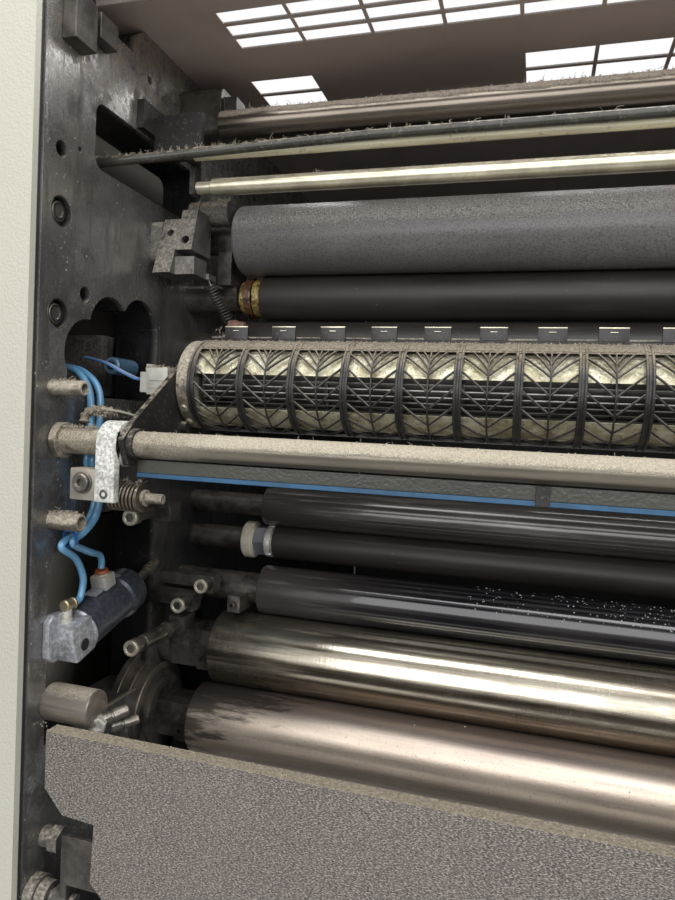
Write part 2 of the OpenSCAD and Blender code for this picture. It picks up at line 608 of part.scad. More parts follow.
// Compressed air cylinders in the frames' lower recesses
air_low = placed([40, 588.3]);
air_tilt = 15.7;
air_r = 20.5;
air_l = 97;
air_rod_l = 54;
air_d = 8;
fitting_r = 4.6;
elbow = [-hw + air_d + 1, air_low[0] - 4, air_low[1] + 30.9];
module air_cylinders() color([0.76, 0.77, 0.78]) both_sides() {
  left_profile(0, 7) rounded(air_low[0] - 24, air_low[1] - 17, air_low[0] + 6, air_low[1] + 25, 9);
  translate([-hw + air_d, air_low[0], air_low[1]]) rotate([air_tilt, 0, 0]) {
    difference() {
      translate([-13, -13, -16]) cube([30, 28, 33]);
      translate([0, 0, -4]) rotate([0, 90, 0]) cylinder(r = 5, h = 20);
    }
    translate([0, 14, 0]) rotate([-90, 0, 0]) cylinder(r = air_r, h = air_l - 36);
    translate([0, air_l - 23, 0]) rotate([-90, 0, 0]) cylinder(r = air_r + 2.5, h = 23);
    translate([0, air_l - eps, 0]) rotate([-90, 0, 0]) cylinder(r = 5, h = air_rod_l);
    translate([-8, 50, 0]) cube([16, 16, 30]);
    translate([0, 58, 30 - eps]) cylinder(r = fitting_r, h = 9);
    translate([-7, 36, 0]) cube([14, 12, air_r + 3]);
  }
  translate([elbow[0], elbow[1], air_low[1]]) cylinder(r = fitting_r - 0.6, h = elbow[2] - air_low[1]);
  rod_y(fitting_r, elbow[1] - fitting_r, elbow[1] + 8, elbow[0], elbow[2]);
}

// Round hoses swept along chosen points
function unit(v) = v / norm(v);
function tangent(p, i) = unit(p[min(i + 1, len(p) - 1)] - p[max(i - 1, 0)]);
function ring_at(p, i, r, n, ref) =
  let (t = tangent(p, i), a = unit(cross(t, ref)), b = cross(t, a))
  [for (k = [0:n - 1]) p[i] + r * (a * cos(360 * k / n) + b * sin(360 * k / n))];
module swept(p, r, n, ref) polyhedron(
  points = [for (i = [0:len(p) - 1]) each ring_at(p, i, r, n, ref)],
  faces = concat(
    [[for (k = [0:n - 1]) k]],
    [for (i = [0:len(p) - 2], k = [0:n - 1])
      [i * n + k, (i + 1) * n + k, (i + 1) * n + (k + 1) % n, i * n + (k + 1) % n]],
    [[for (k = [n - 1:-1:0]) (len(p) - 1) * n + k]]),
  convexity = 8);
// A smooth curve through the chosen points
function curve_point(p, i, u) =
  let (a = p[max(i - 1, 0)], b = p[i], c = p[i + 1], d = p[min(i + 2, len(p) - 1)])
  0.5 * (2 * b + (c - a) * u + (2 * a - 5 * b + 4 * c - d) * u * u + (3 * b - a - 3 * c + d) * u * u * u);
function smooth(p, k) = concat([for (i = [0:len(p) - 2], j = [0:k - 1]) curve_point(p, i, j / k)],
  [p[len(p) - 1]]);
// Points of the hoses: distance from the left frame, from the front edge and above the upper edge
function left_points(p) = [for (q = p) [-hw + q[0], front + q[1], frame_top + q[2]]];
air_hose_r = 3.2;
hose_one = [[-34, 66, -343], [-12, 66, -348], [6, 62, -367], [11, 58, -407], [11, 54.5, -430], [11, 61, -447.6],
  [11, 68, -466], [10, 61.5, -483], [9, 45, -495], [8, 31, -499.5], [8, 28, -505.5], [9, 46, -518],
    [9, 57, -537],
  [9, 54.5, -553], [9, 49.5, -557.2], [9, 44.1, -557.4]];
hose_two = [[-34, 78, -343], [-12, 78, -348], [8, 74, -367], [17, 62, -407], [18, 53.6, -429.4],
  [18, 61.8, -447.2],
  [18, 65.7, -465], [18, 59.2, -481.8], [17, 45.4, -492.8], [16, 33.5, -498.2], [15, 36.2, -503.5],
    [13, 61, -514],
  [9, 80, -520], [8, 85.4, -527], [8, 85.2, -534]];
module air_hoses() color([0.45, 0.66, 0.85]) both_sides()
  for (p = [hose_one, hose_two]) swept(smooth(left_points(p), 3), air_hose_r, 8, [0.7, 0, 0.7]);
lead_r = 1.3;
lead_starts = [7, 12, 17];
module plug_leads() color([0.80, 0.82, 0.86]) both_sides() for (y = lead_starts) {
  lead = left_points([[plug_d0, 112 + y, -351], [16, 111 + y, -350], [4, 108 + 0.6 * y, -344],
    [-12, 104 + 0.6 * y, -336],
    [-34, 102 + 0.6 * y, -331]]);
  swept(smooth(lead, 3), lead_r, 8, [0, 0.3, 1]);
}
ink_hose_r = 4.5;
ink_hose_points = [[-30, 100, -145], [0, 106, -141], [40, 118, -135], [90, 124, -131], [160, 128.7, -127],
  [260, 128.7, -125], [400, 128.7, -125]];
module ink_hose() color([0.14, 0.15, 0.14]) {
  half = left_points(ink_hose_points);
  full = concat(half, [for (i = [len(half) - 1:-1:0]) [-half[i][0], half[i][1], half[i][2]]]);
  swept(smooth(full, 3), ink_hose_r, 10, [0, 0.3, 1]);
}

// Hinged front guard
guard_y = front + 2;
guard_low = hinge_z + guard_rise;
guard_top = guard_low + guard_h;
notch_z = guard_top - 70;
ge = -hw + guard_side_gap;
module guard_half() polygon([[0, guard_low], [0, guard_top], [ge, guard_top], [ge, notch_z + 21],
  [ge + 18, notch_z + 1],
  [ge + 49, notch_z - 1], [ge + 47, guard_low + 12], [ge + 59, guard_low]]);
module front_guard() color([0.47, 0.45, 0.43]) {
  translate([0, guard_y + guard_t, 0]) rotate([90, 0, 0]) linear_extrude(guard_t) {
    guard_half();
    mirror([1, 0]) guard_half();
  }
  translate([ge, guard_y + guard_t - eps, guard_top - guard_t]) cube([-2 * ge, 11, guard_t]);
}
pin_r = 6;
hinge_c = [guard_y + 12, hinge_z];
module guard_brackets() color([0.42, 0.40, 0.37]) both_sides() difference() {
  union() {
    left_box(34, 104, guard_y + guard_t, guard_y + guard_t + 4, guard_low + 2, notch_z - 18);
    left_profile(34, 40) polygon([[guard_y + guard_t, notch_z - 18], [guard_y + guard_t + 20, notch_z - 34],
      [guard_y + guard_t + 20, hinge_z - 10], [guard_y + guard_t, hinge_z - 10]]);
    left_rod(12, 26, 40, hinge_c);
  }
  left_rod(pin_r + run_gap, 20, 44, hinge_c);
}
module hinge_pins() color([0.66, 0.63, 0.56]) both_sides() {
  left_rod(15, 0, 10, hinge_c);
  left_rod(12, 10 - eps, 20, hinge_c);
  left_rod(pin_r, 20 - eps, 44, hinge_c);
  left_rod(9, 0, 10, [front + 27, hinge_z + 42]);
  translate([-hw + 10 - eps, front + 27, hinge_z + 42]) rotate([0, 90, 0])
    cylinder(r = 12, h = 10, $fn = bolt_fn);
}

// Rollers with their journals
module roller(r, end, c, seat) {
  rod_x(r, -hw + end, hw - end, c);
  both_sides() left_rod(journal_r, seat, end + eps, c);
}
module form_roller() color([0.40, 0.39, 0.38]) roller(form_roller_r, form_end, form_c, 4);
module rider_roller() color([0.24, 0.22, 0.20]) {
  roller(rider_roller_r, rider_end, rider_c, 4);
  both_sides() left_rod(20, 68, 77, rider_c);
  both_sides() left_rod(22, 78, 92, rider_c);
}
module rear_roller() color([0.20, 0.19, 0.19]) roller(rear_roller_r, rear_end, rear_c, 4);
module pair_upper_roller() color([0.22, 0.21, 0.20]) roller(pair_upper_r, pair_upper_end, pair_upper_c, 4);
module pair_lower_roller() color([0.24, 0.22, 0.21]) {
  roller(pair_lower_r, pair_lower_end, pair_lower_c, 4);
  both_sides() left_rod(22, pair_collar, 84, pair_lower_c);
  both_sides() translate([-hw + 84 - eps, pair_lower_c[0], pair_lower_c[1]]) rotate([0, 90, 0])
    cylinder(r = 18.5, h = 14, $fn = bolt_fn);
  both_sides() left_rod(18, 98, pair_lower_end, pair_lower_c);
}
module glossy_roller() color([0.20, 0.19, 0.20]) roller(glossy_roller_r, glossy_end, glossy_c, 4);
module chrome_drum() color([0.72, 0.69, 0.62]) roller(chrome_drum_r, chrome_end, chrome_c, 4);
module brown_roller() color([0.36, 0.30, 0.29]) roller(brown_roller_r, brown_end, brown_c, 4);

// Large cylinders
module big_cylinder(r, c, channels) {
  difference() {
    rod_x(r, -hw + cylinder_end_gap, hw - cylinder_end_gap, c);
    for (a = channels) translate([0, c[0], c[1]]) rotate([a, 0, 0])
      translate([-hw, r - channel_d, -channel_w / 2]) cube([inner_w, channel_d + 1, channel_w]);
  }
  both_sides() left_rod(big_journal_r, -frame_t, cylinder_end_gap + eps, c);
}
module plate_cylinder() color([0.66, 0.67, 0.68]) big_cylinder(plate_r, plate_c, [20]);
module blanket_cylinder() color([0.30, 0.42, 0.50]) big_cylinder(plate_r, blanket_c, [-20]);
module impression_cylinder() color([0.68, 0.69, 0.70]) big_cylinder(impression_r, impression_c, [10, 190]);

frame_left();
frame_right();
base_casting();
side_housing_left();
side_housing_right();
top_cover();
lower_front_cover();
rear_covers();
top_tie_bar();
upper_guard_rod();
lower_guard_rod();
rod_brackets();
corner_blocks();
cross_shaft();
shaft_clamps();
clamp_springs();
blower_arms();
blower_end_caps();
blower_shell();
blower_guard();
blower_rotor();
blower_plugs();
plug_leads();
deflector();
blue_seal_strip();
strip_clips();
upper_brackets();
upper_bearings();
roller_blocks_left();
roller_blocks_right();
adjusting_screws();
frame_screws();
frame_studs();
stub_tubes();
air_cylinders();
air_hoses();
ink_hose();
front_guard();
guard_brackets();
hinge_pins();
form_roller();
rider_roller();
rear_roller();
pair_upper_roller();
pair_lower_roller();
glossy_roller();
chrome_drum();
brown_roller();
plate_cylinder();
blanket_cylinder();
impression_cylinder();
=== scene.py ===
import json
import math
import random

import bmesh
import bpy
from mathutils import Matrix, Vector


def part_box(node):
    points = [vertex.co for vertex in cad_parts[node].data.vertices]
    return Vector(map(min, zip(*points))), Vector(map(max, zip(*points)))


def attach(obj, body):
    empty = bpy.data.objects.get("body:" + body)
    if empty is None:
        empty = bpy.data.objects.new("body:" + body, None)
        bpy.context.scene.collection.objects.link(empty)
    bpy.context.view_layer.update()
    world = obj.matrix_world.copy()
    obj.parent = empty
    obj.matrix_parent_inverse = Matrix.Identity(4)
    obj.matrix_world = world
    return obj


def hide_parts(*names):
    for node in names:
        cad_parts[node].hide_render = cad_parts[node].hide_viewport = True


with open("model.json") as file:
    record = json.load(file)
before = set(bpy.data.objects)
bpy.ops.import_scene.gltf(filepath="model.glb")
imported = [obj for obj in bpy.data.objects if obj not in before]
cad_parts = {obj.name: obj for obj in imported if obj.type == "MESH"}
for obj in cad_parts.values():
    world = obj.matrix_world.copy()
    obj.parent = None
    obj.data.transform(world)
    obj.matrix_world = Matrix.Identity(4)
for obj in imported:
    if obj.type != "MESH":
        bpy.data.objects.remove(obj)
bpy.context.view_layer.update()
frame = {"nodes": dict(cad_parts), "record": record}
nodes = frame["nodes"]
record = frame["record"]
body_of_node = {n: b for b, members in record["behaviour"]["bodies"].items() for n in members}
slot_of_node = {s["node"]: s["material_slot"] for s in record["subparts"]}
MM = 0.001
ACROSS, FORWARD, BACKWARD, UP = (Vector(v) for v in ((1, 0, 0), (0, -1, 0), (0, 1, 0), (0, 0, 1)))

# Sizes read from the frame
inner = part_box("cross_shaft")[1].x
front_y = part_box("frame_left")[0].y
rear_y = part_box("frame_left")[1].y
side_x = -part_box("side_housing_left")[0].x


def mm(x, y, z):
    """A distance given in millimetres."""
    return Vector((x, y, z)) * MM


def left(d, y, z):
    """A point from the left frame's inner face, the front edge and the floor, in millimetres."""
    return Vector((-inner + d * MM, front_y + y * MM, z * MM))


def axis_of(node):
    """The middle of the line across the unit that a round piece turns about."""
    low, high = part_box(node)
    return Vector((0, (low.y + high.y) / 2, (low.z + high.z) / 2))


def axis_at_frame(node):
    """Where that line meets the left frame."""
    return axis_of(node) + Vector((-inner, 0, 0))


# Camera at the photograph's viewing angle, before the open side of the unit
PHOTO_H = 900
FOCAL_PX = 680
EYE = (-0.180, front_y - 0.473, 1.620)
YAW, PITCH, ROLL = (math.radians(a) for a in (16.2, -2.1, 2.6))


def add_camera():
    forward = Vector((-math.sin(YAW) * math.cos(PITCH), math.cos(YAW) * math.cos(PITCH), math.sin(PITCH)))
    right = Vector((math.cos(YAW), math.sin(YAW), 0))
    up = right.cross(forward)
    turned_right = right * math.cos(ROLL) + up * math.sin(ROLL)
    turned_up = up * math.cos(ROLL) - right * math.sin(ROLL)
    data = bpy.data.cameras.new("camera")
    data.sensor_width = 36
    data.lens = FOCAL_PX / PHOTO_H * data.sensor_width
    data.clip_start = 0.02
    camera = bpy.data.objects.new("camera", data)
    turn = Matrix((turned_right, turned_up, -forward)).transposed()
    camera.matrix_world = Matrix.Translation(EYE) @ turn.to_4x4()
    bpy.context.scene.collection.objects.link(camera)
    bpy.context.scene.camera = camera


add_camera()


# Node trees written as expressions
class Value:
    """One output socket of a tree, with arithmetic on numbers."""

    def __init__(self, tree, socket):
        self.tree = tree
        self.socket = socket

    def math(self, operation, *others):
        return self.tree.node("ShaderNodeMath", {"operation": operation}, [self, *others])

    def __add__(self, other):
        return self.math("ADD", other)

    def __sub__(self, other):
        return self.math("SUBTRACT", other)

    def __mul__(self, other):
        return self.math("MULTIPLY", other)

    def __truediv__(self, other):
        return self.math("DIVIDE", other)

    def __rsub__(self, other):
        return self.tree.node("ShaderNodeMath", {"operation": "SUBTRACT"}, [other, self])

    __radd__ = __add__
    __rmul__ = __mul__

    def capped(self):
        return self.math("MINIMUM", 1)

    def band(self, low, high):
        """0 below low, 1 above high, smooth between."""
        return self.tree.node(
            "ShaderNodeMapRange", {"interpolation_type": "SMOOTHSTEP", "clamp": True},
            {"Value": self, "From Min": low, "From Max": high})


class Tree:
    """Adds nodes to one node tree."""

    def __init__(self, tree):
        self.tree = tree

    def node(self, kind, settings=None, inputs=None, output=0):
        made = self.tree.nodes.new(kind)
        for key, setting in (settings or {}).items():
            setattr(made, key, setting)
        given = inputs.items() if isinstance(inputs, dict) else enumerate(inputs or [])
        for key, value in given:
            if isinstance(value, Value):
                self.tree.links.new(value.socket, made.inputs[key])
            elif value is not None:
                made.inputs[key].default_value = value
        self.last = made
        return Value(self, made.outputs[output]) if len(made.outputs) else None


class Shade(Tree):
    """A material's tree, with the steps that the finishes share."""

    def __init__(self, name):
        self.material = bpy.data.materials.new(name)
        self.material.use_nodes = True
        super().__init__(self.material.node_tree)
        self.tree.nodes.clear()
        self.coordinates = self.node("ShaderNodeTexCoord", output=3)

    def axis(self, letter, vector=None):
        self.node("ShaderNodeSeparateXYZ", {}, [vector or self.coordinates])
        return Value(self, self.last.outputs["XYZ".index(letter)])

    def apart(self, letter):
        """The distance from the middle, the same on both sides."""
        return self.axis(letter).math("ABSOLUTE")

    def facing(self, letter):
        """How much a surface faces along an axis."""
        return self.axis(letter, self.node("ShaderNodeNewGeometry", output=1))

    def noise(self, scale, detail=3, rough=0.55, stretch=None, turn=(0, 0, 0)):
        """Noise; a small number in stretch draws it out along that axis."""
        vector = self.coordinates
        if stretch:
            vector = self.node("ShaderNodeMapping", {}, {0: vector, 2: turn, 3: stretch})
        return self.node("ShaderNodeTexNoise", {}, {
            "Vector": vector, "Scale": scale, "Detail": detail, "Roughness": rough})

    def specks(self, scale, low, high):
        """1 at the middle of scattered cells."""
        cells = self.node("ShaderNodeTexVoronoi", {}, {"Vector": self.coordinates, "Scale": scale})
        return 1 - cells.band(low, high)

    def dusting(self, amount, scale, reach=0.2):
        """Dust lies on what faces up, broken up by noise."""
        up = self.facing("Z").band(reach, 0.95)
        return up * self.noise(scale, 5, 0.7).band(0.60 - amount * 0.45, 0.72 - amount * 0.3)

    def mix(self, factor, a, b):
        a, b = ((*c, 1) if isinstance(c, tuple) else c for c in (a, b))
        return self.node("ShaderNodeMix", {"data_type": "RGBA"}, {0: factor, 6: a, 7: b}, 2)

    def shades(self, factor, base, low, high):
        """From one shade of a colour to another."""
        return self.mix(factor, shade_of(base, low), shade_of(base, high))

    def layers(self, color, *laid):
        """A colour under others, each laid on by its share."""
        for share, tone in laid:
            color = self.mix(share, color, tone)
        return color

    def bump(self, height, distance, strength=1.0):
        return self.node("ShaderNodeBump", {}, {
            "Strength": strength, "Distance": distance, "Height": height})

    def finish(self, color, rough, metal=0.0, normal=None, coat=0.0):
        surface = self.node("ShaderNodeBsdfPrincipled", {}, {
            "Base Color": (*color, 1) if isinstance(color, tuple) else color, "Roughness": rough,
            "Metallic": metal, "Normal": normal, "Coat Weight": coat})
        self.node("ShaderNodeOutputMaterial", {}, [surface])
        return self.material


# Finishes
DUST = (0.40, 0.34, 0.26)
LINT = (0.40, 0.34, 0.27)
LONGWISE = (0.3, 1, 1)
CYLINDER_TILT = math.radians(15.7)
CYLINDER_D, CYLINDER_Y, CYLINDER_Z = 8, 40, 1418.7


def shade_of(color, factor):
    return tuple(min(1, c * factor) for c in color)


def frame_iron():
    """Ground cast iron with upright marks, oil runs, specks, and dust towards the top; painted lighter
    towards the top as light from above, darkened low at the back by oil and painted shade, and darkened in
    its windows and holes by grime and painted shade.
    """
    s = Shade("frame_iron")
    marks = s.noise(300, 4, 0.65, (1, 1, 0.05))
    run = s.noise(60, 5, 0.7, (1, 1, 0.14)).band(0.53, 0.66)
    grime = s.noise(22, 6, 0.75).band(0.52, 0.64)
    fleck = s.specks(150, 0.09, 0.20) * s.noise(26, 4).band(0.47, 0.60)
    scratch = s.noise(70, 4, 0.8, (1, 0.5, 0.09), (0.35, 0, 0)).band(0.66, 0.69)
    height = s.axis("Z")
    dusty = s.noise(120, 5, 0.75).band(0.47, 0.60) * height.band(1.85, 1.99)
    smoke = s.noise(11, 4, 0.6).band(0.42, 0.66) * height.band(1.78, 1.86) * (1 - height.band(1.90, 1.95))
    # Darker at the back below the upper frame: painted shade, with some oil.
    rear_shade_and_oil = s.axis("Y").band(front_y + 0.15, front_y + 0.27) * (1 - height.band(1.60, 1.80))
    lying = s.dusting(0.9, 90)
    # Faces inside the frame's windows and holes are near black: painted shade, with some grime.
    opening_shade_and_grime = s.apart("X").band(inner + 0.001, inner + 0.008)
    color = s.mix(s.noise(9, 6, 0.68).band(0.36, 0.66), (0.150, 0.148, 0.148), (0.34, 0.332, 0.322))
    # The first layer is a painted highlight: the iron gets lighter towards the top, as light from above
    # falls on it.
    color = s.layers(
        color, (height.band(1.62, 1.95) * 0.5, (0.50, 0.485, 0.46)), (grime * 0.75, (0.050, 0.044, 0.040)),
        (run * 0.5, (0.090, 0.078, 0.068)), (dusty * 0.8, (0.29, 0.225, 0.160)),
        (smoke * 0.6, (0.066, 0.058, 0.054)), ((fleck * 0.8 + scratch * 0.6).capped(), (0.60, 0.56, 0.50)),
        (rear_shade_and_oil * 0.72, (0.016, 0.016, 0.018)), (lying, DUST), (opening_shade_and_grime * 0.86, (0.020, 0.021, 0.026)))
    soft = (grime * 0.5 + dusty * 0.6 + fleck * 0.6 + lying).capped()
    rough = 0.20 + marks * 0.12 + run * 0.16 + soft * 0.30 + rear_shade_and_oil * 0.15
    relief = marks * 0.5 + s.noise(420, 2) * 0.3 + fleck * 0.8 + grime * 0.6
    return s.finish(color, rough, (1 - soft) * 0.72, s.bump(relief, 0.0004, 0.7))


def painted(name, base, vary=0.06, grain=420, depth=0.0004, rough=0.42, dust=0.0, grime=0.0, top=None,
            shadow=None):
    """Paint with a leather grain; top is another colour where it faces up or forward."""
    s = Shade(name)
    tone = s.noise(3, 4).band(0.3, 0.75)
    color = s.shades(tone, base, 1 - vary, 1 + vary)
    peel = s.noise(grain, 2, 0.5)
    if grime:
        color = s.mix(s.noise(9, 5, 0.7).band(0.52, 0.7) * grime, color, shade_of(base, 0.6))
    if dust:
        color = s.mix(s.dusting(dust, 150), color, DUST)
    if top:
        open_side = s.facing("Z").math("MAXIMUM", s.facing("Y") * -1).band(0.4, 0.8)
        color = s.mix(open_side * (0.75 + peel * 0.3), color, top)
    if shadow:
        color = s.mix(shadow(s), color, (0.026, 0.025, 0.024))
    return s.finish(color, rough + tone * 0.08, 0.0, s.bump(peel, depth))


def guard_paint():
    """Hammer-finished paint: long close bumps with a painted highlight on their tops and painted shade
    between them, with dust on the flange.
    """
    s = Shade("guard_paint")
    bumps = s.noise(940, 3, 0.6, (0.55, 1, 1.25), (0, 0.35, 0))
    grain = s.noise(380, 4, 0.7)
    bed = s.facing("Z").band(0.3, 0.9) * grain.band(0.22, 0.46)
    color = s.mix(s.noise(6, 4).band(0.3, 0.75), (0.160, 0.142, 0.125), (0.192, 0.170, 0.150))
    # The pale layer on the bumps' tops is a painted highlight, the dark one in their low places painted
    # shade.
    color = s.layers(
        color, (bumps.band(0.50, 0.64), (0.510, 0.455, 0.395)),
        (1 - bumps.band(0.35, 0.47), (0.042, 0.036, 0.033)),
        (bed, s.mix(grain.band(0.35, 0.65), (0.30, 0.245, 0.18), (0.52, 0.455, 0.35))),
        (s.noise(60, 4, 0.7).band(0.68, 0.72) * 0.3, (0.24, 0.20, 0.17)))
    return s.finish(color, 0.40 + bed * 0.4, 0.0, s.bump(bumps, 0.0012))


def steel(name, base, rough, metal=0.9, dust=0.0, stain=None, reach=0.2, along=0.05):
    s = Shade(name)
    ring = s.noise(420, 3, 0.6, (1, along, along))
    cloud = s.noise(22, 4, 0.65)
    fine = s.noise(240, 4, 0.7)
    color = s.shades(cloud.band(0.35, 0.7), base, 0.6, 1)
    if stain:
        color = s.mix(s.noise(14, 4, 0.7, LONGWISE).band(0.5, 0.66) * 0.7, color, stain)
    surface_rough = rough + cloud * 0.12 + ring * 0.06
    height = ring * 0.4 + fine * 0.3
    if dust:
        mask = s.dusting(dust, 160, reach)
        color = s.mix(mask, color, s.shades(fine.band(0.35, 0.65), DUST, 0.6, 1.3))
        surface_rough = surface_rough + mask * 0.45
        metal = (1 - mask) * metal
        height = height + mask * fine * 2
    return s.finish(color, surface_rough, metal, s.bump(height, 0.0003, 0.6))


def dust_bedded(name, base, dust_low, dust_high, edge, metal=0.85, rough=0.30, ends=None):
    """A round bar with a bed of grainy dust on top that thins out down its sides."""
    s = Shade(name)
    ragged = s.noise(60, 5, 0.7, LONGWISE)
    grain = s.noise(760, 4, 0.7)
    bed = (s.facing("Z") * 0.8 + ragged * 0.55 + grain * 0.35).band(edge, edge + 0.20)
    streak = s.noise(90, 4, 0.7, (0.06, 1, 1))
    steel_tone = s.shades(streak.band(0.35, 0.65), base, 0.78, 1.15)
    spots = s.noise(130, 4, 0.7).band(0.60, 0.68)
    steel_tone = s.mix(spots * 0.5, steel_tone, shade_of(dust_low, 0.8))
    dust = s.mix(grain.band(0.36, 0.62), dust_low, dust_high)
    dust = s.mix(s.noise(26, 4, 0.7).band(0.55, 0.72) * 0.5, dust, shade_of(dust_low, 0.7))
    color = s.mix(bed, steel_tone, dust)
    if ends:
        far = s.apart("X").band(*ends) * s.noise(30, 5, 0.7).band(0.38, 0.55)
        color = s.mix(far * 0.8, color, s.shades(grain.band(0.4, 0.6), dust_low, 0.35, 0.9))
        bed = (bed + far * 0.7).capped()
    height = bed * grain * 1.6 + streak * 0.15
    return s.finish(color, rough + streak * 0.08 + bed * 0.5, (1 - bed) * metal, s.bump(height, 0.0007, 0.8))


def rubber(name, base, rough=0.42, sheen=0.0, coat=0.0, patch=0.35):
    """Inked rubber: a satin skin with rings and smears of ink along its length."""
    s = Shade(name)
    cloud = s.noise(18, 4, 0.6, LONGWISE)
    smear = s.noise(60, 4, 0.7, (0.08, 1, 1))
    color = s.layers(
        s.shades(cloud.band(0.3, 0.72), base, 0.72, 1.25),
        (smear.band(0.56, 0.66) * patch, shade_of(base, 2.2)),
        (s.noise(420, 3, 0.6).band(0.70, 0.74) * 0.5, LINT))
    height = s.noise(700, 2, 0.5) * 0.3 + smear * 0.2
    surface_rough = rough + cloud * 0.14 - smear * 0.05
    return s.finish(color, surface_rough, sheen, s.bump(height, 0.0002, 0.6), coat)


def speckled_rubber():
    """Grey rubber with a fine frost of pale specks, thickest where it faces up and forward, and painted
    lighter where it faces up as light from above.
    """
    s = Shade("speckled_rubber")
    up = s.facing("Z").band(-0.30, 0.55)
    cloud = s.noise(12, 4, 0.6, LONGWISE)
    fine = s.noise(620, 2, 0.6)
    patch = 0.35 + s.noise(30, 4, 0.7, (0.6, 1, 1)).band(0.38, 0.66) * 0.65
    specks = s.specks(430, 0.16, 0.27) * s.noise(90, 3, 0.6).band(0.40, 0.52)
    flakes = s.specks(210, 0.10, 0.17) * s.noise(30, 3).band(0.40, 0.54)
    color = s.mix(cloud.band(0.3, 0.7), (0.170, 0.164, 0.164), (0.235, 0.228, 0.226))
    # The layer that lightens what faces up is a painted highlight from light above; up also sets where the
    # frost lies thickest.
    color = s.layers(
        color, (up.band(0.25, 0.85) * 0.8, (0.480, 0.462, 0.438)),
        ((1 - fine.band(0.40, 0.50)) * 0.6, (0.070, 0.068, 0.070)),
        ((specks * (up * patch + up * 0.35)).capped(), (0.98, 0.95, 0.89)),
        (flakes * up, (0.97, 0.95, 0.89)))
    return s.finish(color, 0.33 + cloud * 0.1, 0.15, s.bump(fine * 0.6 + specks + flakes, 0.0004, 0.8))


def chrome_skin():
    """Chrome with rubbed rings and brown ink that dried in streaks along the drum, and pale blue streaks
    that are a painted reflection.
    """
    s = Shade("chrome_skin")
    rub = s.noise(140, 4, 0.7, (0.6, 0.6, 0.6))
    rings = s.noise(520, 2, 0.6, (1, 0.02, 0.02))
    streak = s.noise(64, 5, 0.72, (0.022, 1, 1))
    stain = s.noise(7, 6, 0.72, (0.22, 1, 1)).band(0.45, 0.62)
    end = s.apart("X").band(0.38, 0.50) * s.noise(34, 5, 0.7, (0.5, 1, 1)).band(0.36, 0.60)
    film = (stain * 0.75 + end * 0.5).capped()
    color = s.mix(streak.band(0.36, 0.62), (0.28, 0.235, 0.175), (0.78, 0.72, 0.59))
    # The pale blue streaks are a painted reflection tint on the chrome.
    color = s.layers(
        color, (streak.band(0.60, 0.72) * 0.6, (0.62, 0.70, 0.72)), (film * 0.8, (0.070, 0.050, 0.036)))
    rough = 0.11 + film * 0.22 + rub * 0.06 + rings * 0.08
    return s.finish(color, rough, 0.97, s.bump(streak * 0.6 + rub + rings * 0.5, 0.00016, 0.5))


def glossy_black():
    s = Shade("glossy_black")
    cloud = s.noise(30, 4, 0.6, (0.2, 1, 1))
    worn = (s.axis("X") * -1).band(0.28, 0.46)
    color = s.mix(cloud.band(0.4, 0.7), (0.010, 0.010, 0.013), (0.034, 0.031, 0.034))
    color = s.mix(worn * 0.6, color, (0.105, 0.090, 0.084))
    rough = 0.10 + cloud.band(0.45, 0.7) * 0.08 + worn * 0.14
    return s.finish(color, rough, 0.25, s.bump(cloud, 0.0001, 0.3), 0.7)


def brown_skin():
    """Brown rubber with a silky sheen, painted dark purple on top as shade, black where ink was brushed out
    at its ends.
    """
    s = Shade("brown_skin")
    cloud = s.noise(7, 5, 0.65, (0.35, 1, 1))
    streak = s.noise(110, 5, 0.7, (0.03, 1, 1))
    fine = s.noise(520, 3, 0.7)
    up = s.facing("Z")
    brush = s.noise(46, 5, 0.75, (0.16, 1, 1))
    end = ((s.apart("X") - 0.40) * 5 + up * 0.45 + brush * 2.6).band(1.62, 2.02)
    color = s.mix(cloud.band(0.3, 0.7), (0.740, 0.610, 0.510), (1.0, 0.87, 0.715))
    # The dark purple layer where the roller faces up is painted shade; the black one at its ends is ink.
    color = s.layers(
        color, (streak.band(0.45, 0.66) * 0.35, (0.24, 0.185, 0.180)),
        (up.band(0.48, 0.92) * 0.72, (0.105, 0.082, 0.086)), (end * 0.85, (0.050, 0.042, 0.040)),
        ((1 - fine.band(0.30, 0.42)) * 0.4, (0.12, 0.09, 0.08)))
    rough = 0.315 + cloud * 0.08 + streak * 0.04 + end * 0.12
    return s.finish(color, rough, 0.80, s.bump(streak * 0.5 + fine, 0.00018, 0.6))


def plain(name, base, rough=0.5, metal=0.0, grain=300, depth=0.0002, dust=0.0, lint=0.0, coat=0.0):
    s = Shade(name)
    cloud = s.noise(30, 4, 0.6)
    fine = s.noise(grain, 4, 0.6)
    color = s.shades(cloud.band(0.3, 0.7), base, 0.75, 1.2)
    if lint:
        color = s.mix(fine.band(0.58, 0.66) * lint, color, LINT)
    if dust:
        color = s.mix(s.dusting(dust, 170), color, s.shades(fine.band(0.38, 0.62), DUST, 0.6, 1.25))
    return s.finish(color, rough + cloud * 0.12, metal, s.bump(fine, depth, 0.6), coat)


def caked(name, base, high, amount=0.5, metal=0.2, depth=0.0009):
    """Metal caked in grainy dust: thick on top, speckled down its sides."""
    s = Shade(name)
    grain = s.noise(360, 4, 0.75)
    patch = s.noise(48, 5, 0.7)
    up = s.facing("Z").band(-0.6, 0.8)
    bed = (up * 0.7 + patch * 0.8 + grain * 0.3).band(1.05 - amount * 0.6, 1.30 - amount * 0.6)
    dark = s.shades(patch.band(0.4, 0.65), base, 0.6, 1.3)
    color = s.mix(bed, dark, s.shades(grain.band(0.36, 0.64), high, 0.45, 1))
    relief = s.bump(grain * bed + patch * 0.4, depth, 0.7)
    return s.finish(color, 0.42 + bed * 0.4, (1 - bed) * metal, relief)


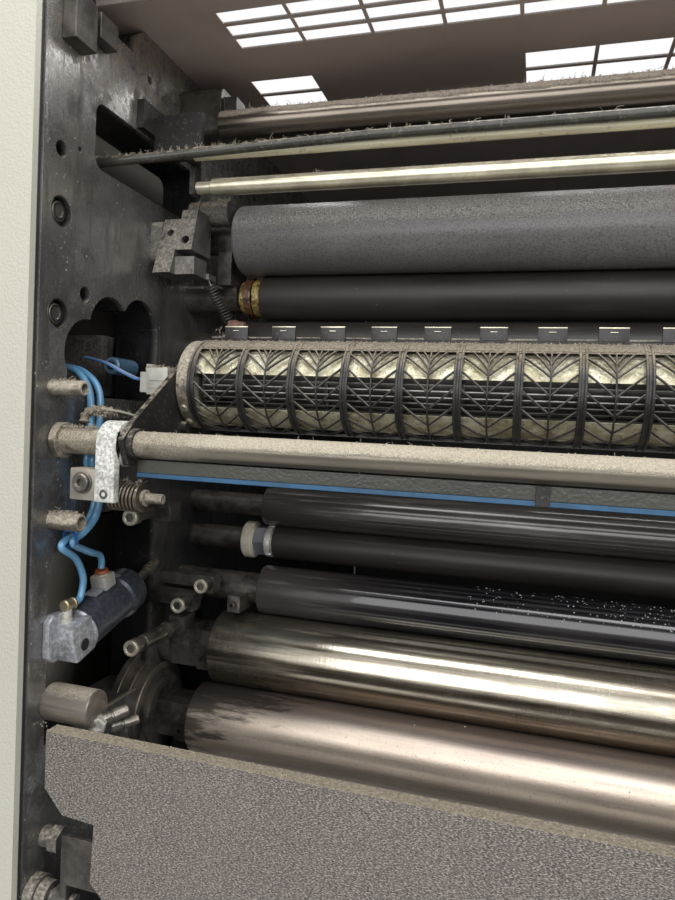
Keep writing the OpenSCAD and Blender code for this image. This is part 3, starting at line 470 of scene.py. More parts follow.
def bracket_iron():
    """Milled iron, dull grey, speckled with dust on its front and top and rubbed bright in places."""
    s = Shade("bracket_iron")
    cloud = s.noise(24, 4, 0.65)
    fine = s.noise(330, 4, 0.7)
    front = (s.facing("Y") * -1).band(0.2, 0.8)
    up = s.facing("Z").band(0.05, 0.7)
    bed = ((front * 0.45 + up) * fine.band(0.34, 0.52)).capped()
    color = s.mix(cloud.band(0.35, 0.7), (0.125, 0.122, 0.116), (0.235, 0.230, 0.220))
    color = s.layers(
        color, (bed * 0.85, s.mix(fine.band(0.45, 0.66), (0.22, 0.19, 0.15), (0.50, 0.45, 0.37))),
        (s.noise(60, 5, 0.7).band(0.58, 0.68) * 0.7, (0.045, 0.038, 0.033)))
    return s.finish(color, 0.36 + cloud * 0.1 + bed * 0.35, (1 - bed) * 0.6, s.bump(fine, 0.0004, 0.6))


def oiled_iron(name, low, high):
    """Blackened iron under old oil and ink: dark, with wet shine and dull crusts."""
    s = Shade(name)
    wet = s.noise(34, 4, 0.65)
    crust = s.noise(190, 5, 0.7)
    color = s.layers(
        s.mix(wet.band(0.35, 0.65), low, high), (crust.band(0.60, 0.72) * 0.45, (0.20, 0.17, 0.135)),
        (s.dusting(0.25, 200, 0.5) * 0.6, (0.22, 0.19, 0.15)))
    return s.finish(color, 0.20 + crust * 0.32, 0.45, s.bump(crust + wet, 0.0007, 0.8))


def bright_sheet():
    """Crinkled gilt sheet that shows through the guard, with brown dust in its hollows, painted lighter on
    raised crinkles and darker in low ones as light and shade.
    """
    s = Shade("bright_sheet")
    dents = s.noise(60, 5, 0.66, (0.7, 1, 1))
    fine = s.noise(260, 4, 0.7)
    # Its tone follows the crinkles' height: painted shade in the low ones, a painted highlight on the
    # highest.
    color = s.layers(
        s.mix(dents.band(0.36, 0.62), (0.40, 0.36, 0.22), (0.74, 0.71, 0.54)),
        (fine.band(0.54, 0.66) * 0.75, (0.20, 0.16, 0.09)),
        (dents.band(0.62, 0.72) * 0.6, (0.86, 0.84, 0.72)))
    return s.finish(color, 0.28 + fine * 0.22, 0.55, s.bump(dents + fine * 0.3, 0.0030, 0.9))


def grease(name, base, shine, low, high):
    s = Shade(name)
    lump = s.noise(120, 4, 0.65)
    color = s.shades(lump.band(0.36, 0.64), base, low, high)
    color = s.mix(s.noise(60, 4, 0.7).band(0.56, 0.66) * 0.7, color, (0.05, 0.035, 0.018))
    return s.finish(color, shine + lump * 0.15, 0.0, s.bump(lump, 0.0030, 0.9), 0.6)


def cylinder_casting():
    """The air cylinder: silver end block and cap edges, dark blue grey barrel with a painted highlight where
    it faces down.
    """
    s = Shade("cylinder_casting")
    y = s.axis("Y") - (front_y + CYLINDER_Y * MM)
    z = s.axis("Z") - CYLINDER_Z * MM
    along = y * math.cos(CYLINDER_TILT) + z * math.sin(CYLINDER_TILT)
    over = z * math.cos(CYLINDER_TILT) - y * math.sin(CYLINDER_TILT)
    barrel = along.band(0.0148, 0.0156) * (1 - over.band(0.0222, 0.0228))
    fine = s.noise(260, 4, 0.65)
    silver = s.mix(fine.band(0.4, 0.7), (0.34, 0.35, 0.38), (0.60, 0.62, 0.65))
    silver = s.mix(s.noise(40, 5, 0.7).band(0.55, 0.68) * 0.6, silver, (0.12, 0.11, 0.105))
    dark = s.mix(fine.band(0.4, 0.7), (0.060, 0.068, 0.088), (0.115, 0.125, 0.150))
    # The pale grey where the barrel faces down is a painted highlight.
    dark = s.mix((1 - s.facing("Z").band(-0.62, -0.50)) * 0.7, dark, (0.46, 0.47, 0.48))
    return s.finish(s.mix(barrel, silver, dark), 0.32 + fine * 0.14, 0.40, s.bump(fine, 0.0002, 0.5))


def inward(s):
    """What faces the inside of a side housing."""
    toward = (s.facing("X") * s.axis("X").math("SIGN") * -1).band(0.4, 0.8)
    return toward * s.apart("X").band(inner + 0.02, inner + 0.03)


def lip_gap(s):
    """The gap between the frame's edge and the housing's lip."""
    near = 1 - s.apart("X").band(inner + 0.0027, inner + 0.0034)
    return near * (1 - s.apart("Y").band(-front_y + 0.003, -front_y + 0.004))


def side_shadow(s):
    return inward(s).math("MAXIMUM", lip_gap(s))


def rear_shadow(s):
    return (s.facing("Y") * -1).band(0.4, 0.8)


HOUSING, LEATHER = (0.63, 0.61, 0.52), (0.03, 430, 0.00055, 0.40)
SCREW = {"grain": 240, "depth": 0.0003}
finishes = {
    "frame_metal": frame_iron(), "guard_paint": guard_paint(), "dusty_steel": bracket_iron(),
    "shell_metal": bright_sheet(), "rubber_grey": speckled_rubber(), "roller_black": glossy_black(),
    "chrome_skin": chrome_skin(), "brown_skin": brown_skin(), "casting_finish": cylinder_casting(),
    "block_iron": oiled_iron("oiled_iron", (0.040, 0.036, 0.033), (0.125, 0.113, 0.098))}


def add(maker, name, *values, **options):
    finishes[name] = maker(name, *values, **options)


add(painted, "base_paint", (0.10, 0.11, 0.12), rough=0.5, dust=0.4, grime=0.5)
add(painted, "housing_paint", HOUSING, *LEATHER, grime=0.06)
# The cover paint is pale where it faces down, a painted light from below; where it faces up or forward it
# takes the dark top colour.
add(painted, "cover_dark", (0.54, 0.450, 0.405), 0.10, 600, 0.0001, 0.40, grime=0.3,
    top=(0.085, 0.075, 0.068))
add(painted, "beige_sheet", (0.104, 0.104, 0.086), 0.22, 400, 0.0001, 0.12, grime=0.7)
add(painted, "side_paint", HOUSING, *LEATHER, grime=0.06, shadow=side_shadow)
add(painted, "rear_paint", HOUSING, *LEATHER, grime=0.06, shadow=rear_shadow)
add(steel, "bright_steel", (0.86, 0.80, 0.61), 0.22, 0.85, dust=0.45)
add(steel, "cast_silver", (0.90, 0.90, 0.83), 0.34, 0.4, dust=0.8, stain=(0.34, 0.32, 0.28), reach=0.35,
    along=1)
add(steel, "clamp_beige", (0.52, 0.48, 0.40), 0.40, 0.4, dust=0.9, reach=0.1, along=1)
add(steel, "crumpled", (0.84, 0.82, 0.74), 0.26, 0.25, along=1)
add(plain, "black_metal", (0.030, 0.028, 0.027), 0.42, 0.25, dust=0.45, lint=0.2)
add(plain, "guard_plastic", (0.026, 0.024, 0.023), 0.34, grain=420, depth=0.0001, dust=0.75, lint=0.15)
add(plain, "plug_plastic", (0.62, 0.60, 0.53), 0.4, grain=200, depth=0.0001, dust=0.4, lint=0.25)
add(plain, "blue_seal", (0.034, 0.120, 0.235), 0.30)
add(plain, "hose_blue", (0.15, 0.37, 0.60), 0.16, lint=0.12, coat=0.5)
add(plain, "hose_black", (0.052, 0.050, 0.040), 0.22, grain=260, dust=0.45, lint=0.2)
add(plain, "cream_ring", (0.56, 0.53, 0.42), 0.45, grain=200, depth=0.0003, dust=0.3, lint=0.35)
add(plain, "blue_grey_nut", (0.17, 0.18, 0.205), 0.38, 0.2, grain=200, depth=0.0003, lint=0.2)
add(plain, "brass", (0.40, 0.34, 0.22), 0.30, 0.8, grain=200, lint=0.2)
add(plain, "orange_ring", (0.40, 0.10, 0.035), 0.35)
add(plain, "lint_finish", (0.40, 0.35, 0.28), 0.9, grain=900, depth=0.0001)
add(plain, "crumb_finish", (0.44, 0.38, 0.29), 0.8, grain=900, depth=0.0001)
add(plain, "water", (0.62, 0.62, 0.62), 0.08, grain=900, depth=0.00001, coat=0.6)
# Near black for the inside of holes, slits and cups: painted shade.
add(plain, "seal_black", (0.012, 0.012, 0.013))
add(plain, "dull_screw", (0.15, 0.14, 0.125), 0.34, 0.75, **SCREW, dust=0.5)
add(plain, "pale_screw", (0.50, 0.46, 0.36), 0.36, 0.6, **SCREW, dust=0.3, lint=0.3)
add(plain, "blue_screw", (0.10, 0.205, 0.32), 0.30, 0.3, **SCREW, lint=0.2)
add(plain, "spring_finish", (0.17, 0.145, 0.11), 0.30, 0.75, **SCREW, dust=0.4)
add(plain, "bracket_bars", (0.24, 0.225, 0.20), 0.26, 0.6, **SCREW, dust=0.4)
add(plain, "blade_finish", (0.30, 0.29, 0.27), 0.34, 0.8, dust=0.3)
# A lighter copy of the blue screw finish, a painted highlight on the window cap's face.
add(plain, "ring_blue", (0.22, 0.36, 0.52), 0.25, 0.4)
add(plain, "ring_iron", (0.20, 0.19, 0.17), 0.3, 0.7)
add(plain, "tab_finish", (0.25, 0.21, 0.16), 0.45, 0.1, dust=0.5)
add(plain, "knuckle", (0.19, 0.10, 0.07), 0.4, 0.2, lint=0.4)
add(plain, "tie_blue", (0.045, 0.16, 0.46), 0.35, coat=0.2)
add(plain, "lead_blue", (0.10, 0.26, 0.55), 0.3)
add(plain, "lead_white", (0.55, 0.57, 0.62), 0.35)
add(plain, "lead_pale", (0.30, 0.42, 0.62), 0.3)
add(rubber, "rubber_dark", (0.034, 0.030, 0.026), 0.40, 0.1)
add(rubber, "wet_rubber", (0.085, 0.078, 0.073), 0.16, 0.35, 0.6, 0.6)
add(rubber, "cylinder_steel", (0.34, 0.345, 0.35), 0.24, 0.9, patch=0.1)
add(rubber, "blanket_skin", (0.10, 0.20, 0.28), 0.5)
add(grease, "gold_grease", (0.36, 0.26, 0.085), 0.14, 0.25, 1.5)
add(grease, "brown_grease", (0.16, 0.070, 0.030), 0.2, 0.25, 1.2)
add(oiled_iron, "journal_iron", (0.045, 0.040, 0.035), (0.120, 0.108, 0.092))
# A lighter copy of the oiled iron for the flange rings behind the brown roller, painted light on parts that
# sit in shade.
add(oiled_iron, "rim_iron", (0.075, 0.064, 0.054), (0.210, 0.180, 0.150))
add(dust_bedded, "shaft_finish", (0.25, 0.225, 0.18), (0.47, 0.41, 0.315), (0.69, 0.62, 0.48), 0.44,
    ends=(0.41, 0.50))
add(dust_bedded, "tie_finish", (0.21, 0.18, 0.15), (0.22, 0.18, 0.145), (0.52, 0.445, 0.36), 0.60, 0.88,
    0.20)
add(dust_bedded, "rod_finish", (0.92, 0.84, 0.63), (0.34, 0.29, 0.22), (0.62, 0.55, 0.44), 0.86, 0.6, 0.42)
add(dust_bedded, "stub_finish", (0.26, 0.23, 0.20), (0.26, 0.22, 0.17), (0.46, 0.40, 0.32), 0.95, 0.6)
add(caked, "cap_metal", (0.16, 0.14, 0.11), (0.56, 0.50, 0.39), 0.75)
add(caked, "felt_finish", (0.15, 0.125, 0.10), (0.40, 0.35, 0.27), 0.9, 0.0, 0.002)
add(caked, "strip_finish", (0.14, 0.13, 0.115), (0.42, 0.38, 0.31), 0.45, 0.7, 0.0003)
add(caked, "band_dust", (0.10, 0.085, 0.07), (0.40, 0.345, 0.265), 0.75)
add(caked, "clamp_silver", (0.66, 0.655, 0.60), (0.94, 0.94, 0.87), 0.78, 0.45, 0.0004)


# Ways of making a piece's mesh; places are in metres, sizes in millimetres
def across(axis):
    """Two directions square to an axis and to each other."""
    along = Vector(axis).normalized()
    helper = UP if abs(along.z) < 0.9 else Vector((0, 1, 0))
    first = along.cross(helper).normalized()
    return first, along.cross(first)


# The radius at which a turned end closes, and the angles from which an edge is sharp
TIP = 0.001
SHARP = math.radians(30)
LEAST_EDGE = 0.35


def hexagon(angle, radius):
    """The distance from a hexagon's centre to its side in one direction."""
    third = math.tau / 6
    return radius * math.cos(third / 2) / math.cos(angle % third - third / 2)


def curve_through(points, steps=6):
    """A smooth curve through chosen points."""
    made = []
    last = len(points) - 1
    for i in range(last):
        a, b, c, d = (points[k] for k in (max(i - 1, 0), i, i + 1, min(i + 2, last)))
        for j in range(steps):
            u = j / steps
            made.append(0.5 * (2 * b + (c - a) * u + (2 * a - 5 * b + 4 * c - d) * u * u
                               + (3 * b - a - 3 * c + d) * u ** 3))
    return made + [points[last]]


class Piece:
    """One piece's mesh, built from turned, sawn and bent elements."""

    def __init__(self):
        self.work = bmesh.new()

    def skin(self, rings, loop=False):
        rows = [[self.work.verts.new(p) for p in ring] for ring in rings]
        count = len(rows[0])
        pairs = list(zip(rows, rows[1:])) + ([(rows[-1], rows[0])] if loop else [])
        for a, b in pairs:
            for i in range(count):
                j = (i + 1) % count
                self.work.faces.new((a[i], a[j], b[j], b[i]))
        if not loop:
            self.work.faces.new(rows[0][::-1])
            self.work.faces.new(rows[-1])
        return [v for row in rows for v in row]

    def turned(self, origin, axis, profile, sides=48, start=0.0, shape=None, loop=False):
        """A profile of distances along the axis and radii, turned about the axis."""
        u, v = across(axis)
        w = Vector(axis).normalized()
        rings = []
        for along, radius in profile:
            ring = []
            for i in range(sides):
                a = start + math.tau * i / sides
                r = shape(along, a, radius) if shape else radius
                ring.append(origin + w * along * MM + (u * math.cos(a) + v * math.sin(a)) * r * MM)
            rings.append(ring)
        self.skin(rings, loop=loop)
        return self

    def solid(self, origin, axis, profile, *sizes, **options):
        """A turned element that closes on its axis at both ends."""
        closed = [(profile[0][0], TIP), *profile, (profile[-1][0], TIP)]
        return self.turned(origin, axis, closed, *sizes, **options)

    def ring(self, origin, axis, section, *sizes, **options):
        """A turned element with a bore."""
        return self.turned(origin, axis, section, *sizes, loop=True, **options)

    def washer(self, origin, axis, inner_r, outer_r, length, sides=32, edge=0.4):
        return self.ring(origin, axis, [
            (0, inner_r), (0, outer_r - edge), (edge, outer_r), (length - edge, outer_r),
            (length, outer_r - edge), (length, inner_r)], sides)

    def screw(self, face, axis, head_r, head_l, socket_r, socket_l=None, sides=24, edge=0.8):
        """A socket head that looks along the axis, with its face at a point."""
        depth = socket_l or head_l * 0.55
        steps = [(-head_l, head_r, False), (-edge, head_r, False), (0, head_r - edge, False),
                 (0, socket_r + 0.7, False), (-0.6, socket_r, True), (-depth, socket_r, True)]
        u, v = across(axis)
        w = Vector(axis).normalized()
        rings = []
        for along, radius, flat in steps:
            angles = [math.tau * i / sides for i in range(sides)]
            rings.append([
                face + w * along * MM
                + (u * math.cos(a) + v * math.sin(a)) * (hexagon(a, radius) if flat else radius) * MM
                for a in angles])
        self.skin(rings)
        return self

    def break_edges(self, verts, width):
        faces = {f for v in verts for f in v.link_faces}
        bmesh.ops.recalc_face_normals(self.work, faces=list(faces))
        edges = [e for e in {e for f in faces for e in f.edges}
                 if len(e.link_faces) == 2 and e.calc_face_angle(0) > LEAST_EDGE]
        bmesh.ops.bevel(
            self.work, geom=edges, offset=width * MM, segments=2, profile=0.5, affect="EDGES",
            clamp_overlap=True)

    def block(self, low, high, edge=0.6):
        low, high = (
            Vector(min(a, b) for a, b in zip(low, high)), Vector(max(a, b) for a, b in zip(low, high)))
        rings = [[(x, low.y, low.z), (x, high.y, low.z), (x, high.y, high.z), (x, low.y, high.z)]
                 for x in (low.x, high.x)]
        verts = self.skin(rings)
        if edge:
            self.break_edges(verts, edge)
        return self

    def sawn(self, outline, d0, d1, edge=0.6):
        """A flat outline of points from the front edge and the floor, as thick as from d0 to d1."""
        verts = self.skin([[left(d, y, z) for y, z in outline] for d in (d0, d1)])
        if edge:
            self.break_edges(verts, edge)
        return self

    def slab(self, place, low, high, near, far, radius, edge=1.0, steps=5):
        """A plate with round corners; place makes a point of two distances and a depth."""
        corners = ((high[0], high[1], -1, -1, 0), (low[0], high[1], 1, -1, 90),
                   (low[0], low[1], 1, 1, 180), (high[0], low[1], -1, 1, 270))
        outline = []
        for u, v, su, sv, start in corners:
            for i in range(steps + 1):
                a = math.radians(start + 90 * i / steps)
                outline.append((u + su * radius, v + sv * radius, math.cos(a), math.sin(a)))
        self.skin([
            [place(u + ca * (radius - less), v + sa * (radius - less), depth) for u, v, ca, sa in outline]
            for depth, less in ((near, 0), (far - edge, 0), (far - edge * 0.3, edge * 0.3), (far, edge))])
        return self

    def tube(self, points, radius, sides=12):
        """A round bar bent along points; the radius may be a list."""
        rings = []
        u = None
        for i, p in enumerate(points):
            along = (points[min(i + 1, len(points) - 1)] - points[max(i - 1, 0)]).normalized()
            u = across(along)[0] if u is None else (u - along * u.dot(along)).normalized()
            v = along.cross(u)
            r = radius[i] if isinstance(radius, list) else radius
            rings.append(
                [p + (u * math.cos(math.tau * k / sides) + v * math.sin(math.tau * k / sides)) * r * MM
                          for k in range(sides)])
        self.skin(rings)
        return self

    def absorb(self, other, matrix=None):
        mesh = bpy.data.meshes.new("element")
        other.work.to_mesh(mesh)
        if matrix is not None:
            mesh.transform(matrix)
        self.work.from_mesh(mesh)
        bpy.data.meshes.remove(mesh)
        other.work.free()
        return self

    def mesh(self, name, both=False, angle=32):
        if both:
            made = bmesh.ops.duplicate(
                self.work, geom=self.work.verts[:] + self.work.edges[:] + self.work.faces[:])
            for element in made["geom"]:
                if isinstance(element, bmesh.types.BMVert):
                    element.co.x = -element.co.x
        bmesh.ops.recalc_face_normals(self.work, faces=self.work.faces)
        mesh = bpy.data.meshes.new(name)
        self.work.to_mesh(mesh)
        self.work.free()
        mesh.shade_smooth()
        mesh.set_sharp_from_angle(angle=math.radians(angle))
        return mesh

    def finish(self, name, slot, material=None, body="machine", both=False, angle=32, replaces=()):
        made = link(name, self.mesh(name, both, angle), slot, material, body)
        if replaces:
            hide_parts(*replaces)
        return made


def link(name, mesh, slot, material=None, body="machine"):
    made = bpy.data.objects.new(name, mesh)
    bpy.context.scene.collection.objects.link(made)
    mesh.materials.clear()
    mesh.materials.append(finishes[material or slot])
    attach(made, body)
    return made


def soften(node, width, material=None):
    """A copy of a CAD piece with its edges broken, as a machinist leaves them."""
    mesh = nodes[node].data.copy()
    work = bmesh.new()
    work.from_mesh(mesh)
    bmesh.ops.remove_doubles(work, verts=work.verts, dist=1e-6)
    bmesh.ops.dissolve_limit(
        work, angle_limit=math.radians(0.5), verts=work.verts, edges=work.edges,
        use_dissolve_boundaries=False)
    work.to_mesh(mesh)
    work.free()
    mesh.shade_smooth()
    mesh.set_sharp_from_angle(angle=SHARP)
    made = link(node + "_finished", mesh, slot_of_node[node], material, body_of_node[node])
    bevel = made.modifiers.new("broken_edges", "BEVEL")
    bevel.width = width * MM
    bevel.segments = 2
    bevel.limit_method = "ANGLE"
    bevel.angle_limit = SHARP
    bevel.harden_normals = True
    bevel.use_clamp_overlap = True
    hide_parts(node)
    return made


class Pattern(Tree):
    """A Geometry Nodes tree with named sizes that repeats a shape."""

    def __init__(self, name):
        group = bpy.data.node_groups.new(name, "GeometryNodeTree")
        group.interface.new_socket("Host", in_out="INPUT", socket_type="NodeSocketGeometry")
        group.interface.new_socket("Result", in_out="OUTPUT", socket_type="NodeSocketGeometry")
        super().__init__(group)
        self.source = group.nodes.new("NodeGroupInput")
        self.host = Value(self, self.source.outputs[0])
        self.settings = {}

    def size(self, name, value, kind="NodeSocketFloat"):
        socket = self.tree.interface.new_socket(name, in_out="INPUT", socket_type=kind)
        self.settings[socket.identifier] = value
        return Value(self, self.source.outputs[name])

    def shape(self, name, mesh):
        """A shape to repeat, held by an object while the pattern runs."""
        holder = bpy.data.objects.new(name, mesh)
        bpy.context.scene.collection.objects.link(holder)
        self.holder = holder
        given = self.size(name, holder, "NodeSocketObject")
        self.node("GeometryNodeObjectInfo", {}, {"Object": given})
        return Value(self, self.last.outputs["Geometry"])

    def xyz(self, x=0, y=0, z=0):
        return self.node("ShaderNodeCombineXYZ", {}, [x, y, z])

    def run(self, geometry, material, host=None):
        real = self.node("GeometryNodeRealizeInstances", {}, [geometry])
        done = self.node("GeometryNodeSetMaterial", {}, {"Geometry": real, "Material": finishes[material]})
        self.node("NodeGroupOutput", {}, [done])
        carrier = bpy.data.objects.new("carrier", host or bpy.data.meshes.new("empty"))
        bpy.context.scene.collection.objects.link(carrier)
        modifier = carrier.modifiers.new("pattern", "NODES")
        for identifier, value in self.settings.items():
            modifier[identifier] = value
        modifier.node_group = self.tree
        for identifier, value in self.settings.items():
            modifier[identifier] = value
        carrier.update_tag()
        graph = bpy.context.evaluated_depsgraph_get()
        mesh = bpy.data.meshes.new_from_object(carrier.evaluated_get(graph))
        carrier.modifiers.remove(modifier)
        bpy.data.objects.remove(carrier)
        if hasattr(self, "holder"):
            bpy.data.objects.remove(self.holder)
        return mesh


def in_a_row(name, unit, count, start, pitch, material):
    """Copies of a unit in a line across the machine."""
    p = Pattern(name)
    shape = p.shape("Unit", unit)
    number = p.size("Count", count, "NodeSocketInt")
    first = p.size("First", start)
    step = p.size("Pitch", pitch)
    line = p.node("GeometryNodeMeshLine", {}, {
        "Count": number, "Start Location": p.xyz(first), "Offset": p.xyz(step)})
    copies = p.node("GeometryNodeInstanceOnPoints", {}, {"Points": line, "Instance": shape})
    return p.run(copies, material)


def round_a_wheel(name, unit, count, centre, material):
    """Copies of a unit, which lies about the origin, turned about an axis across the machine."""
    p = Pattern(name)
    shape = p.shape("Unit", unit)
    number = p.size("Count", count, "NodeSocketInt")
    place = p.size("Centre", centre, "NodeSocketVector")
    line = p.node("GeometryNodeMeshLine", {}, {"Count": number, "Start Location": place, "Offset": p.xyz()})
    index = p.node("GeometryNodeInputIndex")
    turn = p.xyz(index * math.tau / number)
    copies = p.node(
        "GeometryNodeInstanceOnPoints", {}, {"Points": line, "Instance": shape, "Rotation": turn})
    return p.run(copies, material)


def strewn(name, unit, places, seed, small, large, material):
    """Copies of a unit at places, turned and scaled at random."""
    p = Pattern(name)
    shape = p.shape("Unit", unit)
    number = p.size("Seed", seed, "NodeSocketInt")
    least = p.size("Least", small)
    most = p.size("Most", large)
    turn = p.node("FunctionNodeRandomValue", {"data_type": "FLOAT_VECTOR"}, {
        "Min": (0, 0, 0), "Max": (math.tau, math.tau, math.tau), "Seed": number})
    scale = p.node(
        "FunctionNodeRandomValue", {"data_type": "FLOAT"}, {2: least, 3: most, "Seed": number}, 1)
    copies = p.node("GeometryNodeInstanceOnPoints", {}, {
        "Points": p.host, "Instance": shape, "Rotation": turn, "Scale": scale})
    host = bpy.data.meshes.new("places")
    host.from_pydata([tuple(q) for q in places], [], [])
    return p.run(copies, material, host)


def coil(name, origin, axis, radius, wire, turns, length, material, resolution=20):
    """A spring wound about an axis."""
    p = Pattern(name)
    turn = UP.rotation_difference(Vector(axis)).to_euler()
    wound = p.node("GeometryNodeCurveSpiral", {}, {
        "Resolution": p.size("Resolution", resolution, "NodeSocketInt"),
        "Rotations": p.size("Turns", turns),
        "Start Radius": p.size("Start", radius * MM), "End Radius": p.size("End", radius * MM),
        "Height": p.size("Length", length * MM), "Reverse": False})
    section = p.node(
        "GeometryNodeCurvePrimitiveCircle", {}, {"Resolution": 8, "Radius": p.size("Wire", wire * MM)})
    bar = p.node(
        "GeometryNodeCurveToMesh", {}, {"Curve": wound, "Profile Curve": section, "Fill Caps": True})
    placed = p.node("GeometryNodeTransform", {}, {
        "Geometry": bar, "Translation": p.size("Place", origin, "NodeSocketVector"),
        "Rotation": p.size("Turn", turn, "NodeSocketRotation")})
    return p.run(placed, material)


# CAD pieces that keep their mesh take their slot's finish
for name, node in nodes.items():
    node.data.materials.clear()
    node.data.materials.append(finishes[slot_of_node[name]])

chance = random.Random(5)


# Rollers: a covered barrel with rounded ends on ground journals
def barrel(node, radius, end, edge, material, hub):
    """The barrel of a roller, with its two ends turned to a radius and sunk about a hub."""
    half = inner / MM - end
    side = [(half, TIP), (half, radius - edge - 3), (half, radius - edge)]
    if hub:
        side = [(half - 4, TIP), (half - 4, hub), (half - 4, radius - 7), (half, radius - 6)]
    side += [(half - edge * (1 - math.cos(t)), radius - edge + edge * math.sin(t))
             for t in (math.pi / 6, math.pi / 3, math.pi / 2)]
    Piece().turned(axis_of(node), ACROSS, [(-x, r) for x, r in side] + side[::-1], 128).finish(
        node + "_barrel", slot_of_node[node], material, body_of_node[node], replaces=[node])


def journals(node, radius, end, seat=4):
    Piece().solid(axis_at_frame(node), ACROSS, [
        (seat, radius - 0.8), (seat + 0.8, radius), (end, radius)], 32).finish(
        node + "_journals", "dusty_steel", "journal_iron", body_of_node[node], both=True)


ROLLERS = {
    "form_roller": (75, 37.5, 3.5), "rider_roller": (96, 25.3, 1.5), "rear_roller": (62, 31, 1.5),
    "pair_upper_roller": (97.5, 23, 1.2), "pair_lower_roller": (108.5, 19.8, 1.2),
    "glossy_roller": (108, 27.9, 1.5), "chrome_drum": (66.5, 40.5, 1.6), "brown_roller": (57.5, 37, 1.8)}
for node, (end, radius, edge) in ROLLERS.items():
    wet = "wet_rubber" if node == "pair_upper_roller" else None
    barrel(node, radius, end, edge, wet, 12 if radius > 27 else 0)
    journals(node, 9, end)


def lumpy(amount, seed, waves=5):
    """A change of radius that makes a turned element lumpy, as grease lies."""
    pick = random.Random(seed)
    parts = [(pick.randint(1, waves), pick.uniform(0, math.tau), pick.uniform(0.3, 1)) for _ in range(6)]

    def shape(along, angle, radius):
        if radius < 1:
            return radius
        lump = sum(w * math.sin(n * angle + p + along * 0.35 * n) for n, p, w in parts) / 3
        return radius * (1 - amount) + radius * amount * lump * 0.9
    return shape


rider = axis_at_frame("rider_roller")
for name, profile, finish, seed in (
        ("rider_grease_inner", [(68, TIP), (68, 17), (70, 19.8), (73, 19.6), (75, 18), (76, TIP)],
         "gold_grease", 3),
        ("rider_collar", [(75.5, TIP), (75.5, 22), (76.3, 22.8), (83, 22.8), (84, 22), (84, TIP)],
         "brown_grease", 0),
        ("rider_grease_outer", [(84, TIP), (84.5, 19), (86, 22.6), (89, 22.9), (92, 21.5), (95.5, 19),
                                (95.9, TIP)], "gold_grease", 8)):
    piece = Piece()
    smooth_profile = []
    for (a, ra), (b, rb) in zip(profile, profile[1:]):
        smooth_profile += [(a + (b - a) * t / 3, ra + (rb - ra) * t / 3) for t in range(3)]
    piece.turned(
        rider, ACROSS, smooth_profile + [profile[-1]], 56, shape=lumpy(0.05, seed, 6) if seed else None)
    piece.finish(name, "block_iron", finish, "rider_roller", both=True)

# Collar, nut and ring on the lower roller of the middle pair
LOWER = "pair_lower_roller"
pair = axis_at_frame(LOWER)
Piece().ring(pair, ACROSS, [
    (70, 9), (70, 20.6), (71.4, 22), (81, 22), (82.6, 20.8), (82.6, 19.2), (84, 19), (84, 9)], 64).finish(
    "pair_collar", "dusty_steel", "cream_ring", LOWER, both=True)
piece = Piece()
piece.ring(pair, ACROSS, [(84, 9), (84, 17.6), (85, 18.5), (97, 18.5), (98, 17.6), (98, 9)], 6)
piece.finish("pair_nut", "block_iron", "blue_grey_nut", LOWER, both=True, angle=20)
piece = Piece()
for i in range(12):
    turn = Matrix.Rotation(math.tau * i / 12, 4, "X")
    tooth = Piece().block(mm(98.2, 10.5, -3.6), mm(106, 18.6, 3.6), 0.5)
    piece.absorb(tooth, Matrix.Translation(pair) @ turn)
piece.ring(pair, ACROSS, [(98, 9), (98, 16.8), (106.5, 16.8), (108, 15.5), (108, 9)], 48)
piece.finish("pair_ring_nut", "cast_silver", body=LOWER, both=True)

# Blower: guard of paired rings, leaf ribs, spine, dusty band, rails and tabs
blower = axis_of("blower_rotor")
blower_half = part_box("blower_guard")[1].x / MM - 3.5
SEGMENTS = 20
RING_PITCH = 2 * blower_half / SEGMENTS
GUARD_R = 44


def on_blower(x, angle, radius):
    a = math.radians(angle)
    return Vector((x * MM, blower.y + math.cos(a) * radius * MM, blower.z + math.sin(a) * radius * MM))


def arc(x, low, high, radius, steps):
    """Points over the blower from one angle to another."""
    return [on_blower(x, low + (high - low) * i / steps, radius) for i in range(steps + 1)]


def hoop(piece, x, low, high, radius, wide, thick, steps=44):
    """A bar with round edges bent about the blower."""
    section = [(-wide / 2, -0.3), (-wide / 2, 0.3), (-wide / 4, 0.5), (wide / 4, 0.5), (wide / 2, 0.3),
               (wide / 2, -0.3), (wide / 4, -0.5), (-wide / 4, -0.5)]
    angles = [low + (high - low) * i / steps for i in range(steps + 1)]
    piece.skin(
        [[on_blower(x + sx, a, radius - thick / 2 + sr * thick) for sx, sr in section] for a in angles])


def leaf(piece, x0, a0, x1, a1, radius=43.6, wide=1.7, thick=1.9, steps=5):
    """A rib that runs slantwise over the blower."""
    rings = []
    span = math.hypot(x1 - x0, math.radians(a1 - a0) * radius)
    nx, na = -math.radians(a1 - a0) * radius / span, (x1 - x0) / span
    for i in range(steps + 1):
        t = i / steps
        x, a = x0 + (x1 - x0) * t, a0 + (a1 - a0) * t
        ring = []
        for side, rise in ((-0.5, -0.5), (-0.5, 0.3), (-0.25, 0.5), (0.25, 0.5), (0.5, 0.3), (0.5, -0.5)):
            across_x = x + nx * side * wide
            across_a = a + math.degrees(na * side * wide / radius)
            ring.append(on_blower(across_x, across_a, radius - thick / 2 + rise * thick))
        rings.append(ring)
    piece.skin(rings)


def along_guard(name, unit, slot, count=SEGMENTS, first=RING_PITCH / 2 - blower_half):
    """Copies of a unit from one end of the guard to the other."""
    mesh = in_a_row(name, unit.mesh(name), count, first * MM, RING_PITCH * MM, slot)
    return link(name, mesh, slot)


pair_unit = Piece()
for x in (-2.3, 2.3):
    hoop(pair_unit, x, 84, 266, GUARD_R, 2.4, 2.4)
hoop(pair_unit, 0, 86, 264, GUARD_R - 1.3, 3.0, 0.9, 30)
along_guard("guard_rings", pair_unit, "guard_plastic", SEGMENTS + 1, -blower_half)

